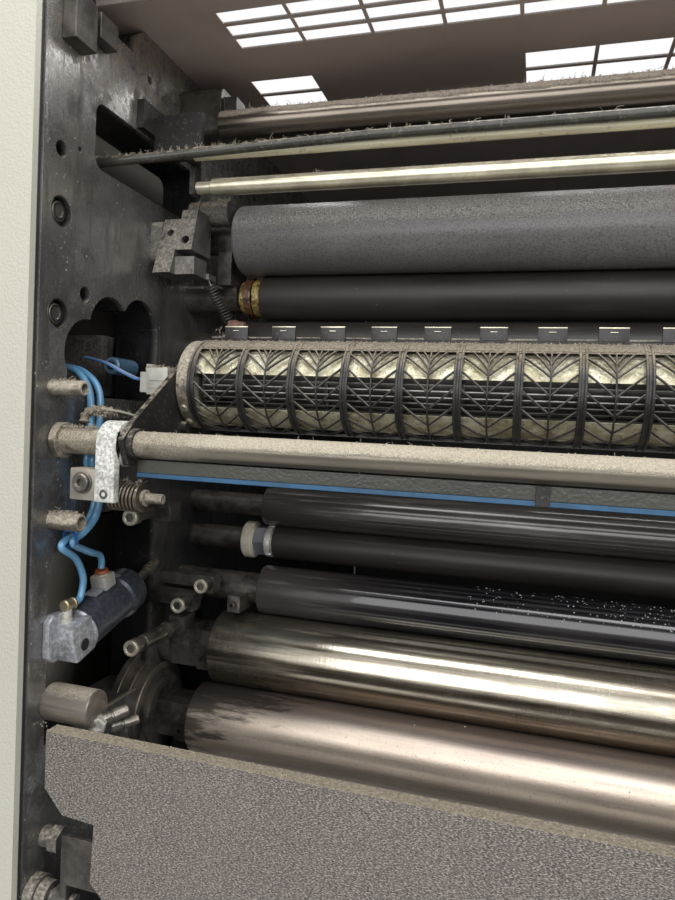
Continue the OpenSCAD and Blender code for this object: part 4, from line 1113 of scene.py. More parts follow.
leaf_unit = Piece()
hoop(leaf_unit, 0, 130, 266, 43.8, 1.5, 2.0, 34)
reach = RING_PITCH / 2 - 3.2
RISE = 25
for apex in (163.5, 184, 204.5, 225, 245.5, 266):
    for sign in (-1, 1):
        leaf(leaf_unit, 0, apex, sign * reach, apex - RISE)
for sign in (-1, 1):
    leaf(leaf_unit, 0, 147, sign * 7.5, 129)
    leaf(leaf_unit, 0, 157, sign * 14.5, 129)
guard = along_guard("guard_leaves", leaf_unit, "guard_plastic")
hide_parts("blower_guard")

ENDS = (-blower_half, blower_half)
band = Piece()
band.skin([arc(x, 85, 128, 43.3, 22) + arc(x, 128, 85, 41.9, 22) for x in ENDS])
band.finish("guard_band", "guard_plastic", "band_dust")
rails = Piece()
for angle, half_wide, thick in ((84, 2.6, 2.4), (130.5, 1.0, 0.7), (266, 2.6, 2.4)):
    wide = math.degrees(half_wide / GUARD_R)
    rails.skin([[on_blower(x, angle + wide * s, 43.2 + thick * r)
                 for s, r in ((-1, -0.5), (1, -0.5), (1, 0.5), (-1, 0.5))] for x in ENDS])
rails.finish("guard_rails", "guard_plastic", angle=20)

tab_unit = Piece()
top = (blower.z / MM) + GUARD_R
back = (blower.y - front_y) / MM
half_unit = Vector((inner, 0, 0))
for low, high, edge in (((-12, back, top - 3), (12, back + 2.4, top + 13.6), 0.5),
                        ((-9, back - 0.7, top + 2), (9, back + 0.4, top + 2.8), 0.2),
                        ((-3, back - 0.6, top + 9.2), (3, back + 0.4, top + 9.9), 0.2)):
    tab_unit.block(left(*low) + half_unit, left(*high) + half_unit, edge)
along_guard("guard_tabs", tab_unit, "guard_plastic")
# Bright steel strips along the tabs' top edges are a painted highlight.
edge_unit = Piece()
edge_unit.block(
    left(-12, back - 0.3, top + 12.7) + half_unit, left(12, back + 2.3, top + 13.9) + half_unit, 0.3)
edge_unit.block(left(-3, back - 0.9, top + 9.4) + half_unit, left(3, back - 0.2, top + 9.8) + half_unit, 0)
along_guard("guard_tab_edges", edge_unit, "bright_steel")
Piece().block(left(88, back + 2.4, top + 2), left(2 * inner / MM - 88, back + 4.2, top + 4), 0.4).finish(
    "guard_strip", "bright_steel", "strip_finish")

# Blower shell, crinkled a little along its length
shell = Piece()
for low_a, high_a in ((90, 167), (216, 262)):
    count = 30
    columns = 160
    wave = random.Random(low_a)
    phase = [wave.uniform(0, math.tau) for _ in range(3)]
    outer_rows = []
    for j in range(columns + 1):
        x = -blower_half + 2 * blower_half * j / columns
        row = []
        for i in range(count + 1):
            a = low_a + (high_a - low_a) * i / count
            dent = 0.25 * math.sin(x * 0.11 + phase[0] + a * 0.05) * math.sin(x * 0.047 + phase[1])
            dent += 0.18 * math.sin(x * 0.31 + a * 0.12 + phase[2])
            row.append(on_blower(x, a, 38.6 + dent))
        outer_rows.append(row + arc(x, high_a, low_a, 37.3, count))
    shell.skin(outer_rows)
shell.skin([arc(x, 262, 450, 38.8, 60) + arc(x, 450, 262, 37.3, 60) for x in ENDS])
shell.finish("blower_sheet", "shell_metal", angle=50, replaces=["blower_shell"])

# Blower rotor: curved blades between discs on one shaft
blade = Piece()
rotor_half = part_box("blower_rotor")[1].x / MM
wing_half = rotor_half - 20
curve = [(-2.4, 21.5), (-1.2, 24), (0.4, 26.5), (2.4, 28.8), (4.6, 30.5)]
outline = curve + [(y - 0.9, z + 0.3) for y, z in reversed(curve)]
blade.skin([[mm(x, y, z) for y, z in outline] for x in (-wing_half, wing_half)])
blades_mesh = round_a_wheel("rotor_blades", blade.mesh("blade"), 36, blower, "blade_finish")
rotor = link("rotor_blades", blades_mesh, "black_metal", "blade_finish", "blower_rotor")
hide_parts("blower_rotor")
discs = Piece()
for i in range(9):
    x = -wing_half + i * (2 * wing_half - 3) / 8
    discs.ring(
        blower + ACROSS * x * MM, ACROSS, [(0, 20.5), (0, 30.9), (3, 30.9), (3, 20.5)], 64)
for x in (-wing_half, wing_half - 3):
    discs.solid(blower + ACROSS * x * MM, ACROSS, [(0, 21), (3, 21)], 48)
discs.solid(
    blower, ACROSS, [(-rotor_half, 3.9), (rotor_half, 3.9)], 24)
discs.finish("rotor_discs", "black_metal", body="blower_rotor")

# Blower end caps with their screws, tab, plugs and latches
caps = Piece()
cap = blower + Vector((-inner, 0, 0))
caps.solid(cap, ACROSS, [
    (75, 41.5), (76.5, 43), (86, 43), (87, 42.4), (87, 41), (90.4, 41), (91, 40.2), (91, 4.2),
    (89, 4.2)], 96, shape=lambda along, a, r: r if r < 40 else r + 0.12 * math.sin(7 * a) - 0.12)
caps.finish("blower_caps", "cap_metal", both=True, replaces=["blower_end_caps"])
cap_screws = Piece()
for angle, d, size in ((214, 81.5, 4.2), (236, 81.5, 3.6)):
    a = math.radians(angle)
    direction = Vector((0, math.cos(a), math.sin(a)))
    cap_screws.turned(cap + ACROSS * d * MM + direction * 41.5 * MM, direction, [
        (0, TIP), (0, size), (2.2, size), (3.4, size * 0.7), (3.6, TIP)], 20)
cap_screws.finish("cap_screws", "bright_steel", "pale_screw", both=True)
tab = Piece()
tab.sawn([(114, 1636.5), (120.5, 1636.5), (121, 1650), (119, 1655.5), (114, 1655.5)], 56, 70.5, 0.6)
tab.finish("blower_tab", "cap_metal", "tab_finish", both=True)
plug = Piece()
plug.block(left(33, 112, 1641.5), left(56, 138, 1667.5), 0.9)
plug.block(left(25, 113.5, 1643.5), left(34, 136.5, 1663.5), 0.7)
plug.block(left(28, 118, 1664), left(52, 122, 1668.5), 0.6)
plug.block(left(29, 117.5, 1667.5), left(34, 132, 1671.5), 0.5)
plug.block(left(47, 117.5, 1666.5), left(52, 132, 1669), 0.5)
for y in (116, 120.5, 125, 129.5):
    plug.block(left(24.6, y, 1645), left(26.5, y + 2.6, 1662), 0.3)
for z in (1648, 1655):
    plug.block(left(36, 111.3, z), left(53, 112.5, z + 1.2), 0.3)
plug.finish("blower_plugs_finished", "plug_plastic", both=True, replaces=["blower_plugs"])

# Leads that leave the plugs
for i, (y, color) in enumerate(((7, "lead_blue"), (12, "lead_white"), (17, "lead_pale"))):
    lead = Piece()
    points = [left(25.5, 112 + y, 1656), left(16, 111 + y, 1657), left(4, 108 + 0.6 * y, 1663),
              left(-12, 104 + 0.6 * y, 1671), left(-34, 102 + 0.6 * y, 1676)]
    lead.tube(curve_through(points, 8), 1.3, 10)
    made = lead.finish("plug_lead_%d" % (i + 1), "plug_plastic", color, both=True)
    if i == 0:
        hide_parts("plug_leads")

# Silver clamps on the cross shaft, their screws and springs
shaft = axis_at_frame("cross_shaft")
clamp = Piece()
clamp.ring(shaft, ACROSS, [
    (50, 11.4), (50, 18.4), (51, 19.3), (68, 19.3), (69, 18.4), (69, 11.4)], 64)
lever = [(11.7, 1547), (11.7, 1596), (13.5, 1606), (19.5, 1609), (19.7, 1547)]
clamp.sawn(lever, 50, 69, 1.2)
clamp.finish("clamp_castings", "cast_silver", "clamp_silver", both=True, replaces=["shaft_clamps"])
Piece().sawn([(15.7, 1547), (15.7, 1574), (37.7, 1574), (37.7, 1547)], 23, 53, 1.4).finish(
    "clamp_blocks", "cast_silver", "clamp_beige", both=True)
clamp_screws = Piece()
clamp_screws.screw(left(36, 11.2, 1562), FORWARD, 7.6, 6, 3.4)
clamp_screws.washer(left(36, 15.6, 1562), FORWARD, 5, 9.4, 1.6)
clamp_screws.washer(left(59.5, 12.2, 1554), FORWARD, 2, 4, 1.2)
clamp_screws.finish("clamp_screws", "dusty_steel", "dull_screw", both=True)

spring_at = left(56, 32.3, 1551)
clamp_spring = coil("clamp_spring", spring_at, ACROSS, 11.2, 1.4, 7.5, 27, "dusty_steel", 24)
springs = Piece()
springs.work.from_mesh(clamp_spring)
springs.solid(spring_at, ACROSS, [
    (-4, 7.4), (0, 7.4), (0, 6), (27, 6)], 32)
springs.washer(spring_at + ACROSS * 27 * MM, ACROSS, 6, 12.6, 1.4, 40)
springs.finish(
    "springs_wound", "dusty_steel", "spring_finish", both=True, replaces=["clamp_springs"], angle=60)
Piece().solid(spring_at + ACROSS * 28.5 * MM, ACROSS, [
    (0, 7.4), (3, 7.4), (3.4, 4.6), (18, 4.6), (18.6, 4)], 24,
    shape=lumpy(0.05, 2, 5)).finish("spring_rods", "dusty_steel", "felt_finish", both=True)
slant_from, slant_to = left(53, 198, 1764.5), left(68, 216, 1729)
slant = slant_to - slant_from
hangers = Piece()
hangers.work.from_mesh(coil(
    "hanger_spring", slant_from, slant.normalized(), 5.6, 0.75, 13, slant.length / MM, "dusty_steel", 16))
for hook in ([slant_to, left(69, 216, 1724), left(72, 214, 1720), left(77, 213, 1717), left(80, 215, 1721)],
             [slant_from, left(52, 196, 1769), left(50, 194, 1774), left(46, 195, 1776)]):
    hangers.tube(curve_through(hook, 6), 0.8, 8)
hangers.finish("hanger_springs", "dusty_steel", "journal_iron", both=True, angle=60)
Piece().tube([left(50, 184, 1784), left(58, 192, 1762)], 0.55, 8).finish(
    "hanger_wires", "bright_steel", both=True)
Piece().turned(left(72, 210, 1722), ACROSS, [
    (0, TIP), (0, 6), (2, 8), (9, 8.4), (12, 6), (14, 6.6), (19, 5.4), (20, TIP)], 28,
    shape=lumpy(0.12, 4, 4)).finish("hanger_knuckle", "block_iron", "knuckle", both=True)

# Cross shaft with its ring at each end, dusty on top
WIDTH = 2 * inner / MM
Piece().solid(shaft, ACROSS, [
    (0, 15), (0.8, 15.8), (6.2, 15.8), (7, 15), (7, 11.3), (WIDTH - 7, 11.3), (WIDTH - 7, 15),
    (WIDTH - 6.2, 15.8), (WIDTH - 0.8, 15.8), (WIDTH, 15)], 96).finish(
    "cross_shaft_turned", "dusty_steel", "shaft_finish", replaces=["cross_shaft"])

# Rods and tie bar above the rollers
upper_rod, lower_rod = axis_of("upper_guard_rod"), axis_of("lower_guard_rod")
for node, rod_r, end, skin, stub in (
        ("upper_guard_rod", 6.5, 61, "rod_finish", 0), ("lower_guard_rod", 8.2, 76, None, 17)):
    rod = Piece()
    centre = axis_of(node)
    half = inner / MM - end
    rod.solid(centre, ACROSS, [
        (-half, rod_r - 0.8), (-half + 0.8, rod_r), (half - 0.8, rod_r), (half, rod_r - 0.8)], 48)
    if stub:
        for sign in (-1, 1):
            rod.solid(centre + ACROSS * sign * half * MM, ACROSS * sign, [
                (-1, 6), (stub - 0.6, 6), (stub, 5.4)], 32)
    rod.finish(node + "_turned", "bright_steel", skin, replaces=[node])

# Screws and studs in the side frames
frame_screw = Piece()
for z in (1792, 1705):
    frame_screw.turned(left(0, 24, z), ACROSS, [
        (-12, TIP), (-12, 8.4), (-2.8, 8.6), (-2, 7.8), (-2, 6.2), (-2.6, 5.4), (-2.6, 4.9)], 30)
    frame_screw.screw(left(-2, 24, z), ACROSS, 7.9, 9, 4.4, 6, 24)
frame_screw.finish("frame_screws_turned", "dusty_steel", "dull_screw", both=True, replaces=["frame_screws"])
seats = Piece()
for z in (1792, 1705):
    seats.washer(left(-11.8, 24, z), ACROSS, 10.2, 13.3, 1.2)
    seats.washer(left(-1.1, 24, z), ACROSS, 12.4, 13.45, 1.0, 40, 0.3)
seats.finish("counterbore_rings", "dusty_steel", "ring_iron", both=True)
studs = Piece()
for y, z, r, length, sleeve in ((19, 1641, 6.5, 33, 0), (24, 1526, 8, 30, 1)):
    studs.solid(left(0, y, z), ACROSS, [
        (0, r), (length - 1, r), (length, r - 0.9), (length, r - 2.2), (length - 9, r - 2.4)], 36,
        shape=lumpy(0.03, 6, 5) if sleeve else None)
studs.finish("frame_studs_turned", "cap_metal", both=True, replaces=["frame_studs"])

# Adjusting screws with bright faces, their washers and the thick body of the long one
SCREWS = ((36, 86, 1523.8, 150), (40, 89, 1398, 178), (48.5, 160, 1423, 182), (60, 188, 1438.5, 206))
adjusters = Piece()
adjuster_faces = Piece()
for d, y, z, lug in SCREWS:
    adjusters.turned(left(d, y, z), BACKWARD, [
        (0.4, TIP), (0.4, 7.6), (12, 7.8), (12, 5.2), (lug - y + 26, 5.2), (lug - y + 26.5, TIP)], 28)
    adjuster_faces.screw(left(d, y, z), FORWARD, 7.9, 4, 4.2, 3.6)
adjusters.ring(left(40, 109, 1398), BACKWARD, [
    (0, 5.4), (0, 6.6), (0.8, 7.4), (37, 7.4), (38, 6.6), (38, 5.4)], 36)
adjusters.ring(left(40, 153, 1398), BACKWARD, [(0, 5.4), (0, 8.8), (6, 8.8), (6, 5.4)], 6)
adjusters.ring(left(87.5, 210.1, 1415.7), BACKWARD, [(0, 2.2), (0, 3.6), (0.5, 4), (8, 4), (8, 2.2)], 20)
adjusters.finish("adjusting_screws_turned", "block_iron", both=True, replaces=["adjusting_screws"])
adjuster_faces.finish("adjusting_screw_faces", "dusty_steel", "pale_screw", both=True)

# Stub tube with a crumpled hexagon end
tube_at = left(0, 31, 1364)
Piece().solid(tube_at, ACROSS, [
    (0, 16.2), (0.5, 16.5), (45.5, 16.3), (46.6, 15.4), (47, 14.4)], 64,
    shape=lumpy(0.012, 9, 4)).finish(
    "stub_tubes_turned", "cap_metal", "stub_finish", both=True, replaces=["stub_tubes"])
nut_at = left(47, 33, 1350)
Piece().solid(nut_at, Vector((0.35, -0.85, -0.1)), [
    (-9, 7.2), (-1, 7.6), (-1, 8.4), (4.4, 8.2), (5.6, 7.0), (5.2, 4.6), (3.4, 4.2)], 6,
    start=0.3, shape=lumpy(0.05, 12, 5)).finish("stub_nuts", "cast_silver", "crumpled", both=True, angle=18)
bars = Piece()
for near, far, radius in (((47, 36, 1351), (64, 56, 1358), 6.2), ((52, 44, 1343), (72, 66, 1347), 5.4)):
    start_at, stop_at = left(*near), left(*far)
    bars.solid(start_at, stop_at - start_at, [
        (0, radius - 0.7), (0.7, radius), (9, radius), (9.6, radius - 1), (11, radius - 1),
        (11.6, radius), (24, radius * 0.94), (25, radius * 0.7)], 14, shape=lumpy(0.09, 3, 5))
bars.finish("stub_bars", "block_iron", "bracket_bars", both=True)

# Stepped flange rings behind the brown roller's bearing
# Their lighter iron finish is painted light on the rims.
Piece().ring(axis_at_frame("brown_roller"), ACROSS, [
    (-20, 30), (-20, 66), (-13, 66), (-12, 65), (-12, 59), (-4, 59), (-3, 58), (-3, 52), (6, 52), (7, 51),
    (7, 30)], 96).finish("bearing_flanges", "block_iron", "rim_iron", both=True)

# Compressed air cylinders: end block, barrel with edge bands, cap, fittings
low = left(CYLINDER_D, CYLINDER_Y, CYLINDER_Z)
tilted = Matrix.Translation(low) @ Matrix.Rotation(CYLINDER_TILT, 4, "X")
body = Piece()
body.block(mm(-13, -13, -16), mm(17, 15, 17), 2.0)
body.solid(Vector(), BACKWARD, [
    (13, 18.5), (14.5, 20.5), (72, 20.5), (73, 21.5), (74, 23), (79, 23.4), (81, 22.6), (93, 22.6),
    (95.5, 21.5), (97, 19), (97, 9), (98.5, 9)], 64)
body.block(mm(-7, 36, 14), mm(7, 49, 23.4), 1.2)
block = Piece()
block.absorb(body, tilted)
block.sawn([
    (16, 1407), (16, 1438), (22, 1443.7), (40, 1443.7), (46, 1438), (46, 1407), (40, 1401.7),
    (22, 1401.7)], 0, 7, 0.8)
block.finish("air_cylinder_bodies", "cast_silver", "casting_finish", both=True, replaces=["air_cylinders"])
rod = Piece().solid(Vector(), BACKWARD, [
    (97, 6.5), (101, 6.5), (101.5, 4.8), (131, 4.8), (131.5, 6.6), (146, 6.6), (148, 5.4),
    (151, 5.2)], 32)
Piece().absorb(rod, tilted).finish("air_cylinder_rods", "dusty_steel", "dull_screw", both=True)
fitting = Piece()
fitting.block(mm(-8.5, 50, 20), mm(8.5, 67, 34), 1.6)
fitting.turned(mm(0, 58.5, 33.5), UP, [
    (0, TIP), (0, 6.5), (1.8, 6.5), (2.2, 5.4), (3, TIP)], 24)
placed = Piece().absorb(fitting, tilted)
elbow_at = left(9, 36, 1449.6)
placed.turned(left(9, 36, 1433), UP, [
    (0, TIP), (0, 5.6), (5, 5.6), (5.6, 4.4), (14, 4.4), (19, 4.2), (20.5, 3), (20.8, TIP)], 24)
placed.finish("air_fittings", "cast_silver", both=True)
push = Piece().ring(mm(0, 58.5, 36), UP, [(0, 3.3), (0, 6), (1, 6.4), (2.6, 5.8), (2.8, 3.3)], 24)
Piece().absorb(push, tilted).finish("push_rings", "cast_silver", "orange_ring", both=True)
Piece().turned(elbow_at, BACKWARD, [
    (-5, TIP), (-5, 4.2), (-4, 5.2), (1, 5.2), (1.6, 4.4), (6, 4.4), (6.4, 5.4), (8, 5.4), (8.4, 4.6),
    (8.6, TIP)], 24).finish(
    "air_elbows", "dusty_steel", "brass", both=True)
# A black disc and bore in the end block's side are painted shade for its port.
hole = Piece()
hole.solid(mm(17.2, 0, -4), ACROSS, [(0, 4.6), (0.1, 4.6)], 24)
hole.ring(mm(16.9, 0, -4), ACROSS, [(-4, 3.2), (-4, 5.6), (0.2, 5.6), (0.5, 5.2), (0.5, 3.2)], 24)
Piece().absorb(hole, tilted).finish("cylinder_holes", "block_iron", "seal_black", both=True)

# Light blue air hoses with their tie
HOSE_ONE = [
    (-34, 66, 1664), (-12, 66, 1659), (6, 62, 1640), (11, 58, 1600), (11, 54.5, 1577), (11, 61, 1559.4),
            (11, 68, 1541), (10, 61.5, 1524), (9, 45, 1512), (8, 31, 1507.5), (8, 28, 1501.5),
            (9, 46, 1489), (9, 57, 1470), (9, 54.5, 1454), (9, 49.5, 1449.8), (9, 44.1, 1449.6)]
HOSE_TWO = [
    (-34, 78, 1664), (-12, 78, 1659), (8, 74, 1640), (17, 62, 1600), (18, 53.6, 1577.6), (18, 61.8, 1559.8),
            (18, 65.7, 1542), (18, 59.2, 1525.2), (17, 45.4, 1514.2), (16, 33.5, 1508.8),
            (15, 36.2, 1503.5), (13, 61, 1493), (9, 80, 1487), (8, 85.4, 1480), (8, 85.2, 1473)]
hoses = Piece()
for route in (HOSE_ONE, HOSE_TWO):
    hoses.tube(curve_through([left(*p) for p in route], 8), 3.2, 16)
hoses.finish("air_hoses_bent", "hose_blue", both=True, replaces=["air_hoses"])
tie = Piece()
tie_at = left(12.5, 33, 1510)
tie.ring(tie_at, Vector((0.2, 1, 0.25)), [(-1.6, 7.3), (-1.6, 8.1), (1.6, 8.1), (1.6, 7.3)], 24)
tie.block(tie_at + mm(-2, -3, 6), tie_at + mm(2.5, 2, 10.5), 0.5)
tie.finish("hose_tie", "hose_blue", "tie_blue", both=True)

# Black hose along the upper rod
INK = [
    (-30, 100, 1862), (0, 106, 1866), (40, 118, 1872), (90, 124, 1876), (160, 128.7, 1880),
    (260, 128.7, 1882), (400, 128.7, 1882)]
half_route = [left(*p) for p in INK]
route = half_route + [Vector((-p.x, p.y, p.z)) for p in reversed(half_route)]
Piece().tube(curve_through(route, 10), 4.5, 20).finish("ink_hose_bent", "hose_black", replaces=["ink_hose"])

# Blue socket cap and the dark box behind it, in the window beside the blower
Piece().washer(left(-14, 122, 1669.5), BACKWARD, 4.4, 8.8, 37, 40, 1.6).finish(
    "window_caps", "block_iron", "blue_screw", both=True)
# The black hexagon in the cap's socket is painted shade.
Piece().solid(left(-14, 121.9, 1669.5), BACKWARD, [(0, 4.7), (20, 4.7)], 6).finish(
    "window_cap_holes", "block_iron", "seal_black", both=True)
# The lighter blue ring on the cap's face is a painted highlight.
Piece().washer(left(-14, 121.8, 1669.5), BACKWARD, 6.2, 7.9, 0.6, 40, 0.15).finish(
    "window_cap_rings", "block_iron", "ring_blue", both=True)
box = Piece()
box.block(left(-104, 166, 1640), left(-57, 216, 1706), 1.5)
box.block(left(-58, 170, 1652), left(-55.5, 178, 1704), 0.6)
box.finish("window_boxes", "black_metal", "dusty_steel", both=True)

# Machined and cast pieces keep their CAD shape, with their edges broken
BROKEN = {
    "upper_brackets": 0.9, "upper_bearings": 0.8, "roller_blocks_left": 0.8, "roller_blocks_right": 0.8,
    "corner_blocks": 1.2, "blower_arms": 0.7, "rod_brackets": 0.6, "guard_brackets": 0.7, "hinge_pins": 0.8,
    "front_guard": 0.5, "top_tie_bar": 0.8, "base_casting": 4.0, "deflector": 0.4, "blue_seal_strip": 0.6,
    "strip_clips": 0.4, "top_cover": 0.4, "frame_left": 0.7, "frame_right": 0.7,
    "side_housing_left": 2.0, "side_housing_right": 2.0, "rear_covers": 0.8, "lower_front_cover": 0.8}
REPAINTED = {
    "top_tie_bar": "tie_finish", "upper_brackets": "dusty_steel", "rear_covers": "rear_paint",
    "side_housing_left": "side_paint", "side_housing_right": "side_paint"}
for node, width in BROKEN.items():
    soften(node, width, REPAINTED.get(node))


# Lint, crumbs and drops that lie on the pieces
def hair(length, radius, bend, seed):
    """A bent fibre with three sides."""
    pick = random.Random(seed)
    piece = Piece()
    piece.tube([
        Vector((length * (t - 0.5), bend * math.sin(math.pi * t), bend * pick.uniform(-0.6, 0.6))) * MM
        for t in (0, 0.3, 0.65, 1)], radius, 3)
    return piece.mesh("fibre")


def crumb(radius, detail=1, flat=1.0, rough=0.25):
    """A lump with a few faces."""
    pick = random.Random(11)
    piece = Piece()
    made = bmesh.ops.create_icosphere(piece.work, subdivisions=detail, radius=radius * MM)
    for v in made["verts"]:
        v.co *= 1 + pick.uniform(-rough, rough)
        v.co.z *= flat
    return piece.mesh("lump")


def over(centre, radius, x0, x1, count, low=25, high=165, rise=0.0):
    """Places on the upper side of a round bar; angles run from the front over the top."""
    places = []
    for _ in range(count):
        a = math.radians(chance.uniform(low, high))
        r = (radius + chance.uniform(0, rise)) * MM
        places.append(
            Vector((chance.uniform(x0, x1), centre.y - math.cos(a) * r, centre.z + math.sin(a) * r)))
    return places


def upon(low, high, count):
    """Places on a flat top between two corners."""
    return [left(*(chance.uniform(a, b) for a, b in zip(low, high))) for _ in range(count)]


def mirrored(places):
    return places + [Vector((-p.x, p.y, p.z)) for p in places]


def lay(name, unit, places, small, large, material, body="machine", slot="cap_metal"):
    mesh = strewn(name, unit, places, len(places), small, large, material)
    return link(name, mesh, slot, material, body)


HOSE_LINE = curve_through(route, 6)
on_hose = [p + Vector((0, chance.uniform(-3, 1), 4.2)) * MM for p in HOSE_LINE for _ in range(7)]
on_rods = over(upper_rod, 6.8, -inner + 0.062, inner - 0.062, 900, 20, 150, 1.5)
on_rods += over(lower_rod, 8.2, -inner + 0.08, inner - 0.08, 60, 60, 120)
on_tie = over(left(0, 221, 1944), 15.2, -inner + 0.055, inner - 0.055, 900, 20, 130, 0.8)
on_pieces = mirrored(
    upon((51, 195, 1856), (72, 212, 1857), 50) + upon((33, 112, 1668), (56, 138, 1669), 40)
    + upon((8, 22, 1608), (48, 34, 1609), 60) + upon((2, 14, 1647), (32, 24, 1648), 40)
    + upon((2, 16, 1533), (29, 30, 1535), 40) + upon((24, 30, 1618), (46, 70, 1624), 110)
    + upon((60, 196, 1710), (92, 216, 1722), 45) + upon((56, 28, 1562), (82, 42, 1566), 18)
    + upon((92, 225, 1744), (96, 262, 1790), 12))
on_band = [
    on_blower(chance.uniform(-blower_half, blower_half), chance.uniform(86, 126), 43.6) for _ in range(900)]
on_shaft = over(shaft, 11.4, -inner + 0.07, inner - 0.07, 500, 55, 160)
lay(
    "lint_long", hair(9, 0.17, 1.8, 1), on_rods[::3] + on_hose[::4] + on_tie[::7] + on_pieces[::4], 0.4,
    1.3, "lint_finish")
lay(
    "lint_short", hair(4, 0.13, 1.0, 2),
    on_rods + on_hose + on_tie + on_pieces + on_band[::3] + on_shaft[::4],
    0.5, 1.4, "lint_finish")
lay("dust_crumbs", crumb(0.55), on_band + on_shaft + on_tie + on_pieces + mirrored(
    upon((-16, 3, 1352.2), (579, 15, 1352.5), 420)), 0.4, 1.5, "crumb_finish")
drops = over(axis_of("glossy_roller"), 27.9, -0.24, 0.18, 330, 20, 130)
drops += over(axis_of("glossy_roller"), 27.9, -0.10, 0.16, 190, 25, 85)
lay("drops_glossy", crumb(0.62, 2, 1, 0.03), drops, 0.4, 1.25, "water", "glossy_roller", "roller_black")
few = over(axis_of("brown_roller"), 37, -0.42, 0.3, 34, 10, 110)
lay("drops_brown", crumb(0.6, 2, 1, 0.05), few, 0.5, 1.4, "water", "brown_roller", "brown_skin")

# A strap of felted lint and its cream band above each clamp
felt = Piece()
line = curve_through([left(22, 34, 1612), left(23, 36, 1620), left(29, 42, 1624), left(36, 54, 1622)], 5)
felt.tube(line, [3 + 2.2 * math.sin(1.9 * i) ** 2 for i in range(len(line))], 12)
felt.finish("felt_lumps", "cap_metal", "felt_finish", both=True, angle=70)
band_line = [left(30, 44, 1624.5), left(40, 58, 1622.5), left(50, 74, 1618.5)]
cream = Piece()
cream.skin([[p + mm(dx, dy, dz) for dx, dy, dz in ((-4, 3, 0), (4, -3, 0), (4, -3, 1.8), (-4, 3, 1.8))]
            for p in band_line])
cream.finish("felt_bands", "cap_metal", "cream_ring", both=True)


# Outer panels with their doors, louvres, locks and handles
def in_a_grid(name, unit, start, step, columns, rise, rows, material):
    """Copies of a unit in columns and rows."""
    p = Pattern(name)
    shape = p.shape("Unit", unit)
    line = p.node("GeometryNodeMeshLine", {}, {
        "Count": p.size("Columns", columns, "NodeSocketInt"),
        "Offset": p.size("Step", step, "NodeSocketVector")})
    row = p.node("GeometryNodeRealizeInstances", {}, [
        p.node("GeometryNodeInstanceOnPoints", {}, {"Points": line, "Instance": shape})])
    column = p.node("GeometryNodeMeshLine", {}, {
        "Count": p.size("Rows", rows, "NodeSocketInt"),
        "Start Location": p.size("Start", start, "NodeSocketVector"),
        "Offset": p.size("Rise", rise, "NodeSocketVector")})
    return p.run(p.node("GeometryNodeInstanceOnPoints", {}, {"Points": column, "Instance": row}), material)


PANEL = 2.8
SKIN = side_x - 4 * MM


def on_side(u, v, w):
    return Vector((-SKIN - w * MM, u * MM, v * MM))


def on_rear(u, v, w):
    return Vector((u * MM, rear_y - 4 * MM + w * MM, v * MM))


def on_front(u, v, w):
    return Vector((u * MM, front_y + 1 * MM - w * MM, v * MM))


def on_top(u, v, w):
    return Vector((u * MM, v * MM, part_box("top_cover")[1].z + w * MM))


for node in ("side_housing_left", "side_housing_right"):
    body = bpy.data.objects[node + "_finished"]
    for v in body.data.vertices:
        if abs(v.co.x) > side_x - 1 * MM:
            v.co.x = math.copysign(SKIN, v.co.x)

doors = Piece()
for low, high in (((-549, 152), (-3, 1480)), ((3, 152), (549, 1480)), ((-549, 1486), (549, 2026))):
    doors.slab(on_side, low, high, -0.5, PANEL, 9, 1.4)
doors.finish("side_doors", "housing_paint", both=True)
Piece().slab(on_side, (-549, 70), (549, 146), -0.5, PANEL, 9, 1.2).finish(
    "side_plinths", "base_paint", both=True)


def hood(place, length, out, height=11):
    """A pressed louvre: a hood that leans out over its slit."""
    piece = Piece()
    section = [(0, 0), (0.55 * out, 0.25 * height), (0.95 * out, 0.62 * height), (out, 0.9 * height),
               (0.85 * out, height), (0, height)]
    piece.skin([[place(u, height - v, w - 0.3) for w, v in section] for u in (-length / 2, length / 2)])
    return piece


# A slit is a black plate under its hood, painted shade in the opening.
def slit(place, length, out):
    return Piece().slab(place, (-length / 2, -2.2), (length / 2, 0.4), -0.3, 0.35 * out, 1.1, 0.2, 2)


def louvres(name, place, out, centre, columns, step, rows, rise, length, both=False):
    """A field of louvres and their slits on an outer face."""
    origin = place(0, 0, 0)
    start = place(*centre) - origin
    for part, make, slot, material in (
            ("hoods", hood, "housing_paint", None), ("slits", slit, "black_metal", "seal_black")):
        unit = make(place, length, out).mesh("louvre")
        mesh = in_a_grid(name + part, unit, start, step, columns, rise, rows, material or slot)
        if both:
            piece = Piece()
            piece.work.from_mesh(mesh)
            mesh = piece.mesh(name + part, True)
        link(name + "_" + part, mesh, slot, material)


louvres(
    "side_louvres", on_side, 1.1, (-330, 1820, PANEL), 3, Vector((0, 0.330, 0)), 7, Vector((0, 0, 0.020)),
    210, True)
for name, base, rows in (("rear_louvres", 420, 9), ("rear_upper_louvres", 1720, 5)):
    louvres(name, on_rear, 5, (-390, base, 0), 4, Vector((0.26, 0, 0)), rows, Vector((0, 0, 0.024)), 190)


def locks(piece, place, spots, face, radius=9, out=1.0):
    """Quarter-turn locks: a ring, a domed plug and its slot bar."""
    for u, v in spots:
        piece.slab(
            place, (u - radius, v - radius), (u + radius, v + radius), face - 0.4, face + out,
            radius - 0.1, 0.5)
        piece.slab(
            place, (u - radius * 0.55, v - 1.3), (u + radius * 0.55, v + 1.3), face - 0.4,
            face + out * 1.12, 1.2, 0.1, 2)


